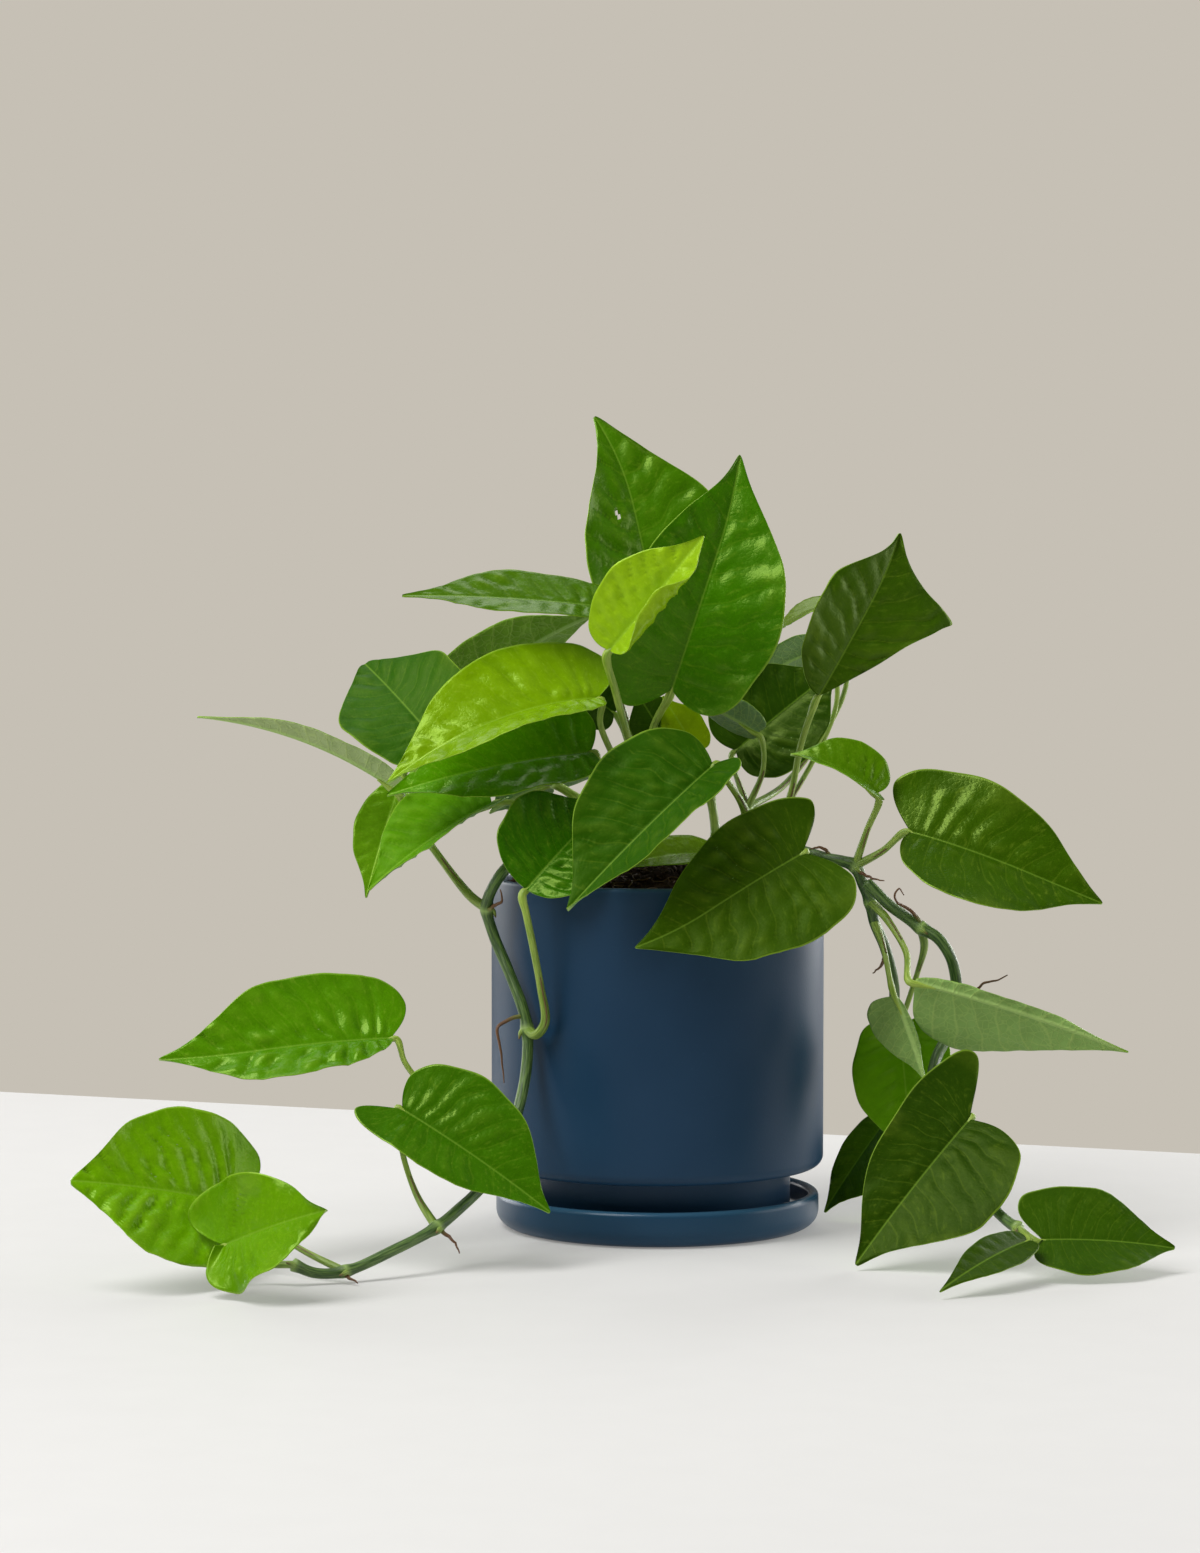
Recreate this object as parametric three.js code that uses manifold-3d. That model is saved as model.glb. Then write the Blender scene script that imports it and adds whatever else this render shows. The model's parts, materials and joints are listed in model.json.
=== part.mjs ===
// A pothos houseplant in a round planter that stands in its own drip saucer.
// Millimetres, +Z up. The planter's axis is the Z axis and the saucer stands on Z = 0; -Y is the front.
import * as THREE from "three";
import { mergeGeometries, mergeVertices } from "three/addons/utils/BufferGeometryUtils.js";
import Module from "manifold-3d";

const wasm = await Module();
wasm.setup();

// Planter
const POT_RADIUS = 75;
const RIM_HEIGHT = 158;
const POT_CORNER = 5;
const POT_WALL = 3.2;
const FLOOR_THICKNESS = 4;
const FOOT_INSET = 15;
const FOOT_WALL = 4;
const DRAIN_RADIUS = 6;
const FOOT_RADIUS = POT_RADIUS - FOOT_INSET;
// Saucer
const SAUCER_GUTTER = 8;
const SAUCER_HEIGHT = 16;
const SAUCER_FLOOR = 5;
const SAUCER_WALL = 5;
const SAUCER_CORNER = 8;
const SAUCER_RADIUS = FOOT_RADIUS + SAUCER_GUTTER + SAUCER_WALL;
// The shadow gap between the saucer's lip and the planter's underside
const FOOT_REVEAL = 11.6;
const POT_BOTTOM = SAUCER_HEIGHT + FOOT_REVEAL;
// Soil, measured from the rim
const SOIL_DROP = 5;
const SOIL_HEAP = 12;
const PLANTING_DEPTH = 14;
const PIT_CLEARANCE = 1.2;
// Foliage
const LEAF_THICKNESS = 1.2;
const VINE_RADIUS = 2.5;
const STEM_RADIUS = 2.2;
const PETIOLE_RADIUS = 1.3;
const ROOTLET_RADIUS = 0.8;
// The clearance between pieces that rest on one another
const GAP = 0.4;

// The size the plant was laid out around; the foliage follows the planter when that changes.
const LAYOUT_RADIUS = 75;
const LAYOUT_RIM = 158;

const deg = (a) => (a * Math.PI) / 180;
const vec = (p) => new THREE.Vector3(p[0], p[1], p[2]);

// Where a point of the layout goes when the planter is wider or taller than it was laid out for.
function grown(p) {
  const reach = Math.hypot(p[0], p[1]);
  const share = THREE.MathUtils.smoothstep(reach, 20, 62);
  const push = reach > 0 ? ((POT_RADIUS - LAYOUT_RADIUS) * share) / reach : 0;
  const lift = (RIM_HEIGHT - LAYOUT_RIM) * THREE.MathUtils.smoothstep(p[2], 45, LAYOUT_RIM);
  return new THREE.Vector3(p[0] * (1 + push), p[1] * (1 + push), p[2] + lift);
}

// ---------- solids ----------

function solid(geometry) {
  const bare = geometry.index ? geometry.toNonIndexed() : geometry.clone();
  bare.deleteAttribute("normal");
  bare.deleteAttribute("uv");
  const merged = mergeVertices(bare, 1e-4);
  return new wasm.Manifold(
    new wasm.Mesh({
      numProp: 3,
      vertProperties: merged.attributes.position.array,
      triVerts: new Uint32Array(merged.index.array),
    }),
  );
}

function geometryOf(manifold) {
  const mesh = manifold.getMesh();
  const positions = new Float32Array(mesh.numVert * 3);
  for (let i = 0; i < mesh.numVert; i++) {
    const from = i * mesh.numProp;
    positions.set(mesh.vertProperties.subarray(from, from + 3), i * 3);
  }
  const geometry = new THREE.BufferGeometry();
  geometry.setAttribute("position", new THREE.BufferAttribute(positions, 3));
  geometry.setIndex(new THREE.BufferAttribute(new Uint32Array(mesh.triVerts), 1));
  geometry.computeVertexNormals();
  return geometry;
}

// A body of revolution about Z from [radius, height] pairs.
function turned(profile, segments) {
  const points = profile.map(([r, z]) => new THREE.Vector2(r, z));
  const geometry = new THREE.LatheGeometry(points, segments);
  geometry.rotateX(Math.PI / 2);
  return geometry;
}

// Points of a quarter round about (cx, cz) from angle a to angle b.
function round(cx, cz, radius, a, b, steps) {
  const points = [];
  for (let i = 0; i <= steps; i++) {
    const t = deg(a + ((b - a) * i) / steps);
    points.push([cx + radius * Math.cos(t), cz + radius * Math.sin(t)]);
  }
  return points;
}

// ---------- planter, saucer, soil ----------

function potGeometry() {
  const r = POT_RADIUS;
  const inner = r - POT_WALL;
  const floor = POT_BOTTOM + FLOOR_THICKNESS;
  const footBottom = SAUCER_FLOOR + GAP;
  const profile = [
    [DRAIN_RADIUS, POT_BOTTOM],
    [FOOT_RADIUS - FOOT_WALL, POT_BOTTOM],
    [FOOT_RADIUS - FOOT_WALL, footBottom],
    [FOOT_RADIUS, footBottom],
    [FOOT_RADIUS, POT_BOTTOM],
    ...round(r - POT_CORNER, POT_BOTTOM + POT_CORNER, POT_CORNER, -90, 0, 3),
    ...round(r - 1, RIM_HEIGHT - 1, 1, 0, 90, 2),
    ...round(inner + 1, RIM_HEIGHT - 1, 1, 90, 180, 2),
    ...round(inner - 4, floor + 4, 4, 0, -90, 2),
    [DRAIN_RADIUS, floor],
    [DRAIN_RADIUS, POT_BOTTOM],
  ];
  return turned(profile, 44);
}

function saucerGeometry() {
  const r = SAUCER_RADIUS;
  const lip = SAUCER_WALL / 2;
  const profile = [
    [0, 0],
    [r - SAUCER_CORNER, 0],
    ...round(r - SAUCER_CORNER, SAUCER_CORNER, SAUCER_CORNER, -60, 0, 2),
    ...round(r - lip, SAUCER_HEIGHT - lip, lip, 0, 180, 6),
    ...round(r - SAUCER_WALL - 2, SAUCER_FLOOR + 2, 2, -30, -90, 2),
    [0, SAUCER_FLOOR],
  ];
  return turned(profile, 44);
}

const soilRadius = () => POT_RADIUS - POT_WALL - GAP;

function soilTop(x, y) {
  const share = Math.min(1, Math.hypot(x, y) / soilRadius());
  return RIM_HEIGHT - SOIL_DROP + SOIL_HEAP * (1 - share * share);
}

function soilSolid(roots) {
  const r = soilRadius();
  const bottom = POT_BOTTOM + FLOOR_THICKNESS + GAP;
  const profile = [[0, bottom], ...round(r - 5, bottom + 5, 5, -90, 0, 2)];
  for (let i = 0; i <= 6; i++) {
    const x = r * (1 - i / 6);
    profile.push([x, soilTop(x, 0)]);
  }
  let soil = solid(turned(profile, 32));
  for (const root of roots) {
    const top = root.radius + PIT_CLEARANCE;
    const depth = PLANTING_DEPTH + 2 * GAP;
    const hole = new THREE.CylinderGeometry(top, top - GAP, 3 * depth, 9);
    hole.rotateX(Math.PI / 2);
    hole.translate(root.at.x, root.at.y, root.at.z + 1.5 * depth - 2 * GAP);
    soil = soil.subtract(solid(hole));
  }
  return geometryOf(soil);
}

// ---------- leaves ----------

const LEAF_ROWS = 7;
const LEAF_COLUMNS = 2;

// A heart-shaped blade laid between its base and its tip.
// width is half the blade's greatest width; face points away from its upper side.
// fold lifts each half from flat and curl bends it further towards the margin, in degrees.
// droop arches the blade along its length; twist turns the tip end about the midrib.
// lobe sets how far the rounded lobes reach back past the base.
// A smaller belly moves the widest part towards the tip, and a smaller point makes the tip blunter.
// hook swings the tip sideways, in millimetres.
// Where two values are given they are for the left and the right half, seen from above with the tip away.
function leafFrame(leaf) {
  const base = grown(leaf.base);
  const tip = vec(leaf.tip).add(base).sub(vec(leaf.base));
  const along = tip.clone().sub(base);
  const length = along.length();
  along.normalize();
  const face = vec(leaf.face);
  face.addScaledVector(along, -face.dot(along)).normalize();
  const across = along.clone().cross(face);
  return { base, length, along, face, across };
}

// The value for one side of a leaf from a list of one value or two.
const pick = (list, side) => list[side > 0 ? list.length - 1 : 0];

function leafSurface(leaf) {
  const frame = leafFrame(leaf);
  const arc = deg(leaf.droop || 0.5);
  const stretch = arc / 2 / Math.sin(arc / 2);
  const blade = frame.length * stretch;
  const bend = arc / blade;
  const half = [].concat(leaf.width);
  const fold = [].concat(leaf.fold || 0).map(deg);
  const curl = [].concat(leaf.curl || 0.5).map(deg);
  const twist = deg(leaf.twist || 0);
  const hook = leaf.hook || 0;

  // The point at lateral distance s (negative on the left) and length y, sunk by depth below the upper side.
  return function at(s, y, depth) {
    const side = s < 0 ? -1 : 1;
    const reach = Math.abs(s);
    const a0 = pick(fold, side);
    const k = pick(curl, side) / pick(half, side);
    const a1 = a0 + k * reach;
    const nx = -Math.sin(s === 0 ? 0 : a1);
    const nz = Math.cos(s === 0 ? 0 : a1);
    const lateral = (Math.sin(a1) - Math.sin(a0)) / k + depth * -nx;
    const rise = (Math.cos(a0) - Math.cos(a1)) / k - depth * nz;
    const turn = twist * (y / blade - 0.5);
    const x = side * lateral * Math.cos(turn) - rise * Math.sin(turn);
    const z = side * lateral * Math.sin(turn) + rise * Math.cos(turn);
    const run = Math.max(0, y);
    const pitch = arc / 2 - bend * run;
    const py = (Math.sin(arc / 2) - Math.sin(pitch)) / bend + Math.min(0, y) * Math.cos(arc / 2);
    const pz = (Math.cos(pitch) - Math.cos(arc / 2)) / bend + Math.min(0, y) * Math.sin(arc / 2);
    const swing = hook * Math.max(0, run / blade / 0.4 - 1.5) ** 2;
    const local = new THREE.Vector3(swing + x, py - z * Math.sin(pitch), pz + z * Math.cos(pitch));
    return frame.base
      .clone()
      .addScaledVector(frame.across, local.x)
      .addScaledVector(frame.along, local.y)
      .addScaledVector(frame.face, local.z);
  };
}

function leafGeometry(leaf) {
  const at = leafSurface(leaf);
  const length = leafFrame(leaf).length;
  const arc = deg(leaf.droop || 0.5);
  const blade = (length * arc) / 2 / Math.sin(arc / 2);
  const half = [].concat(leaf.width);
  const lobes = [].concat(leaf.lobe ?? 0.3);
  const bellies = [].concat(leaf.belly ?? 0.85);
  const point = leaf.point ?? 1.1;
  const widest = Math.sqrt(1 + point) * (1 + 1 / point) ** (point / 2);
  const columns = 2 * LEAF_COLUMNS + 1;
  const grid = [];
  for (let i = 1; i < LEAF_ROWS; i++) {
    const a = (i / LEAF_ROWS) * (Math.PI / 2);
    const s2 = Math.sin(a) ** 2;
    const middle = s2 ** 1.25;
    const drawn = 0.15 * s2 ** 16;
    for (let j = -LEAF_COLUMNS; j <= LEAF_COLUMNS; j++) {
      const t = Math.abs(j) / LEAF_COLUMNS;
      const back = pick(lobes, j) * Math.sin(2 * a) * Math.cos(a) ** 3;
      const edge = 0.85 * s2 ** pick(bellies, j) + drawn - back;
      const share = widest * Math.sin(a) * Math.cos(a) ** point * (1 - 0.7 * s2 ** 7);
      grid.push([Math.sign(j) * t * share * pick(half, j), blade * (middle + (edge - middle) * t)]);
    }
  }
  const flat = [[0, 0], [0, blade], ...grid];
  const vertices = [];
  for (const depth of [0, LEAF_THICKNESS]) {
    for (const [s, y] of flat) vertices.push(at(s, y, depth));
  }
  const under = flat.length;
  const id = (i, j) => 2 + (i - 1) * columns + j + LEAF_COLUMNS;
  const faces = [];
  const both = (a, b, c) => {
    faces.push([a, b, c]);
    faces.push([a + under, c + under, b + under]);
  };
  for (let j = -LEAF_COLUMNS; j < LEAF_COLUMNS; j++) {
    both(0, id(1, j + 1), id(1, j));
    both(1, id(LEAF_ROWS - 1, j), id(LEAF_ROWS - 1, j + 1));
    for (let i = 1; i < LEAF_ROWS - 1; i++) {
      both(id(i, j), id(i, j + 1), id(i + 1, j + 1));
      both(id(i, j), id(i + 1, j + 1), id(i + 1, j));
    }
  }
  const rim = [0];
  for (let i = 1; i < LEAF_ROWS; i++) rim.push(id(i, LEAF_COLUMNS));
  rim.push(1);
  for (let i = LEAF_ROWS - 1; i > 0; i--) rim.push(id(i, -LEAF_COLUMNS));
  rim.forEach((p, n) => {
    const q = rim[(n + 1) % rim.length];
    faces.push([q, p, p + under]);
    faces.push([q, p + under, q + under]);
  });
  const geometry = new THREE.BufferGeometry();
  const positions = vertices.flatMap((v) => [v.x, v.y, v.z]);
  geometry.setAttribute("position", new THREE.Float32BufferAttribute(positions, 3));
  geometry.setIndex(faces.flat());
  geometry.computeVertexNormals();
  return geometry;
}

// Where a leafstalk ends: just behind the blade's base and a little below its upper side.
function stalkEnd(leaf) {
  const at = leafSurface(leaf);
  return at(0, -2 * PETIOLE_RADIUS, LEAF_THICKNESS + 0.2);
}

// ---------- stems ----------

function disc(radius, sides) {
  const shape = new THREE.Shape();
  for (let i = 0; i < sides; i++) {
    const a = (2 * Math.PI * i) / sides;
    if (i === 0) shape.moveTo(radius, 0);
    else shape.lineTo(radius * Math.cos(a), radius * Math.sin(a));
  }
  shape.closePath();
  return shape;
}

function tube(points, radius, sides, stepsPerSpan) {
  const path = new THREE.CatmullRomCurve3(points, false, "centripetal");
  const steps = Math.max(2, Math.round((points.length - 1) * stepsPerSpan));
  return new THREE.ExtrudeGeometry(disc(radius, sides), {
    steps,
    bevelEnabled: false,
    extrudePath: path,
  });
}

// A shoot is one stem with the leafstalks and aerial rootlets that spring from it.
function shootGeometry(shoot, leaves) {
  const path = shoot.path.map(grown);
  if (!shoot.grafted) path[0].z = soilTop(path[0].x, path[0].y) - PLANTING_DEPTH;
  let body = solid(tube(path, shoot.radius, 6, 1.25));
  for (const stalk of shoot.stalks) {
    const end = stalkEnd(leaves.get(stalk.leaf));
    const points = [path[stalk.from], ...(stalk.via || []).map(grown), end];
    body = body.add(solid(tube(points, stalk.radius || PETIOLE_RADIUS, 5, 2)));
  }
  for (const rootlet of shoot.rootlets || []) {
    const points = [path[rootlet.from], ...rootlet.via.map(grown)];
    body = body.add(solid(tube(points, ROOTLET_RADIUS, 4, 1.5)));
  }
  for (const node of shoot.nodes || []) {
    const knuckle = new THREE.SphereGeometry(shoot.radius * 1.4, 6, 4);
    knuckle.translate(path[node].x, path[node].y, path[node].z);
    body = body.add(solid(knuckle));
  }
  return geometryOf(body);
}

// ---------- the plant ----------

// One entry per leaf: base and tip of the blade, the way its upper side faces, and its shape.
const LEAVES = [
  {
    name: "leaf_top_back",
    base: [2, 10, 261], tip: [-22, 38, 367], face: [0.3, -0.9, 0.1], width: [32, 43], fold: 12,
    curl: 12, droop: 22, belly: [0.95, 0.95], hook: -7,
  },
  {
    name: "leaf_top_front",
    base: [6, -26, 243], tip: [40, -18, 346], face: [0.05, -1, 0.1], width: [36, 39], fold: 16,
    curl: 10, droop: 14, lobe: [0.4, 0.3], belly: [0.95, 0.85], hook: -4,
  },
  {
    name: "leaf_young_folded",
    base: [-22, -52, 261], tip: [19, -62, 311], face: [-0.1, -0.95, 0.3], width: [22, 25],
    fold: [4, 6], curl: [12, 145], lobe: [0.22, 0.0], belly: 0.78,
  },
  {
    name: "leaf_left_upper",
    base: [-24, -20, 280], tip: [-113, -42, 285], face: [0, -0.5, 0.87], width: [15, 22], fold: 4,
    curl: 4, droop: 8,
  },
  {
    name: "leaf_left_turned",
    base: [-98, 40, 231], tip: [-26, 24, 277], face: [-0.2, 0.6, 0.75], width: 23, fold: 8, curl: 10,
    droop: 30, lobe: 0.3,
  },
  {
    name: "leaf_bright",
    base: [-27, -42, 240], tip: [-118, -78, 204], face: [-0.2, -0.6, 0.75], width: [26, 33], fold: 16,
    curl: 14, droop: 44, lobe: [0.1, 0.5],
  },
  {
    name: "leaf_under_bright",
    base: [-30, -32, 216], tip: [-119, -60, 198], face: [-0.05, -0.72, 0.66], width: [20, 32],
    fold: [2, 14], curl: 8, droop: 20, lobe: [0.2, 0.3],
  },
  {
    name: "leaf_left_round",
    base: [-98, -4, 217], tip: [-134, 37, 253], face: [0, -0.9, 0.45], width: [31, 31], fold: 6,
    curl: 8, droop: 20, belly: 0.85, point: 0.6,
  },
  {
    name: "leaf_left_long",
    base: [-116, -36, 200], tip: [-203, -46, 232], face: [0, 0.05, 1], width: [10, 13], fold: [34, 10],
    curl: 8, droop: 30, twist: 0,
  },
  {
    name: "leaf_left_hang",
    base: [-115, -14, 202], tip: [-130, -34, 151], face: [-0.2, -0.9, 0.2], width: [13, 14],
    fold: [40, 10], curl: 10, droop: 10, belly: 0.75, lobe: 0.1,
  },
  {
    name: "leaf_left_lower",
    base: [-74, -32.6, 193], tip: [-127, -62.6, 157], face: [-0.2, -0.75, 0.6], width: [18, 25],
    fold: [45, 8], curl: 6, droop: 24,
  },
  {
    name: "leaf_shade_left_1",
    base: [-51, 26, 198], tip: [-77, 30, 185], face: [0, 0.6, 0.8], width: 13, fold: 10, droop: 20,
  },
  {
    name: "leaf_shade_left_2",
    base: [-34, 40, 204], tip: [-58, 52, 194], face: [0, 0.6, 0.8], width: 12, fold: 10, droop: 20,
  },
  {
    name: "leaf_front_left_low",
    base: [-58, -74, 158], tip: [-21, -42, 195], face: [-0.1, -0.95, 0.3], width: [30, 24], fold: 8,
    curl: 14, droop: 20, lobe: 0.1,
  },
  {
    name: "leaf_front_centre",
    base: [23, -62, 211], tip: [-40, -100, 151], face: [-0.2, -0.85, 0.45], width: [29, 36],
    fold: [40, 8], curl: 8, droop: 12,
  },
  {
    name: "leaf_front_right",
    base: [62, -66, 173], tip: [-8, -98, 131], face: [0.1, -0.85, 0.5], width: [39, 28], fold: 8,
    curl: 4, droop: 16, lobe: [0.45, 0.6], belly: [0.85, 1], hook: 5,
  },
  {
    name: "leaf_right_top",
    base: [72, -18, 240], tip: [111, -2, 311], face: [0.3, -0.9, 0.1], width: [25, 37], fold: [14, 8],
    curl: -4, droop: 14, lobe: [0.1, -0.45], belly: [0.75, 0.6], hook: -3,
  },
  {
    name: "leaf_right_mid",
    base: [36, 22, 214], tip: [83, 36, 251], face: [0, -0.9, 0.4], width: 26, fold: 8, droop: 16,
  },
  {
    name: "leaf_mid_grey",
    base: [45, 8, 223], tip: [16, 4, 237], face: [0, 0.5, 0.85], width: 13, fold: 8, droop: 20,
  },
  {
    name: "leaf_small_bright",
    base: [17, -20, 216], tip: [2, -15, 240], face: [0, -0.9, 0.3], width: 10, fold: 8,
  },
  {
    name: "leaf_dark_centre",
    base: [-20, 4, 232], tip: [-56, 6, 255], face: [0, -0.8, 0.6], width: 17, fold: 8, droop: 16,
  },
  {
    name: "leaf_dark_right",
    base: [4, -8, 219], tip: [-10, -8, 242], face: [0.1, -1, 0.2], width: 13, fold: 8, droop: 10,
  },
  {
    name: "leaf_low_centre",
    base: [24, -30, 171], tip: [-26, -52, 164], face: [0, -0.4, 0.9], width: 14, fold: 10, droop: 20,
  },
  {
    name: "leaf_right_small",
    base: [96, -44, 198], tip: [58, -40, 215], face: [-0.2, -0.5, 0.8], width: 17, fold: [40, 14],
    curl: [-12, 10], droop: 50,
  },
  {
    name: "leaf_right_big",
    base: [111, -44, 181], tip: [193, -60, 149], face: [0.05, -0.8, 0.6], width: [33, 34], fold: 14,
    curl: 6, droop: 22, lobe: [0.5, 0.15], belly: [0.95, 0.85], hook: -2,
  },
  {
    name: "leaf_back_right_a",
    base: [82, 62, 281], tip: [53, 68, 264], face: [-0.3, -0.25, 0.9], width: 12, fold: 8, droop: 40,
  },
  {
    name: "leaf_back_right_b",
    base: [77, 56, 260], tip: [47, 60, 244], face: [0, 0.5, 0.8], width: 14, fold: 8, droop: 30,
  },
  {
    name: "leaf_trail_right_long",
    base: [111, -75, 118], tip: [203, -80, 88], face: [0.1, 0.75, 0.66], width: [30, 5],
    fold: [-10, 12], curl: 8, droop: 10, lobe: [-0.05, 0.05], belly: [1.7, 1.0],
  },
  {
    name: "leaf_trail_right_short",
    base: [103.5, -59, 110], tip: [116, -70, 74], face: [0.3, 0.85, 0.3], width: [19, 3], fold: 12,
    droop: 10, belly: [1.7, 0.9], lobe: [0.12, 0.0],
  },
  {
    name: "leaf_trail_right_back",
    base: [109, -14, 91], tip: [114, -30, 31], face: [-0.3, -0.9, 0.2], width: 23, fold: 10, droop: 16,
  },
  {
    name: "leaf_trail_right_low",
    base: [104, 18, 44], tip: [76, 8, 4], face: [-0.5, -0.8, 0.3], width: [22, 10], fold: 12,
    droop: 10,
  },
  {
    name: "leaf_trail_right_front",
    base: [133, -92, 60], tip: [82, -127, 3], face: [-0.1, -0.8, 0.6], width: [40, 27], fold: 10,
    curl: 8, droop: 16, lobe: [0.26, 0.8], belly: [0.75, 1.0],
  },
  {
    name: "leaf_ground_right_big",
    base: [160, -141, 16], tip: [216, -134, 11], face: [0, -0.62, 0.78], width: [27, 23], fold: 8,
    curl: 4, droop: 16, lobe: [0.55, 0.4],
  },
  {
    name: "leaf_ground_right_small",
    base: [152, -150, 17], tip: [112, -196, 4], face: [0.1, -0.6, 0.8], width: [11, 9], fold: 12,
    droop: 20, lobe: 0.2,
  },
  {
    name: "leaf_trail_left_1",
    base: [-116, -88, 95], tip: [-213, -112, 85], face: [0, -0.75, 0.66], width: [20, 34], fold: 12,
    curl: 6, droop: 14, lobe: [0.1, 0.35], belly: [0.75, 1.0], twist: 22, hook: 4,
  },
  {
    name: "leaf_trail_left_2",
    base: [-110, -112, 67], tip: [-47, -126, 25], face: [0.1, -0.8, 0.6], width: [30, 22], fold: 14,
    curl: 6, droop: 16, lobe: [0.4, 0.6], belly: [0.75, 0.9],
  },
  {
    name: "leaf_trail_left_3",
    base: [-178, -140, 31], tip: [-243, -176, 46], face: [-0.3, -0.75, 0.5], width: [40, 38], fold: 8,
    curl: 6, droop: 16, lobe: [0.25, 0.6], belly: [0.68, 0.75], point: 0.9,
  },
  {
    name: "leaf_trail_left_4",
    base: [-180, -179, 20], tip: [-136, -209, 39], face: [-0.1, -0.85, 0.5], width: [26, 26], fold: 10,
    curl: 8, droop: 16, lobe: [0.85, 0.5], belly: [0.85, 0.6],
  },
];

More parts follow.
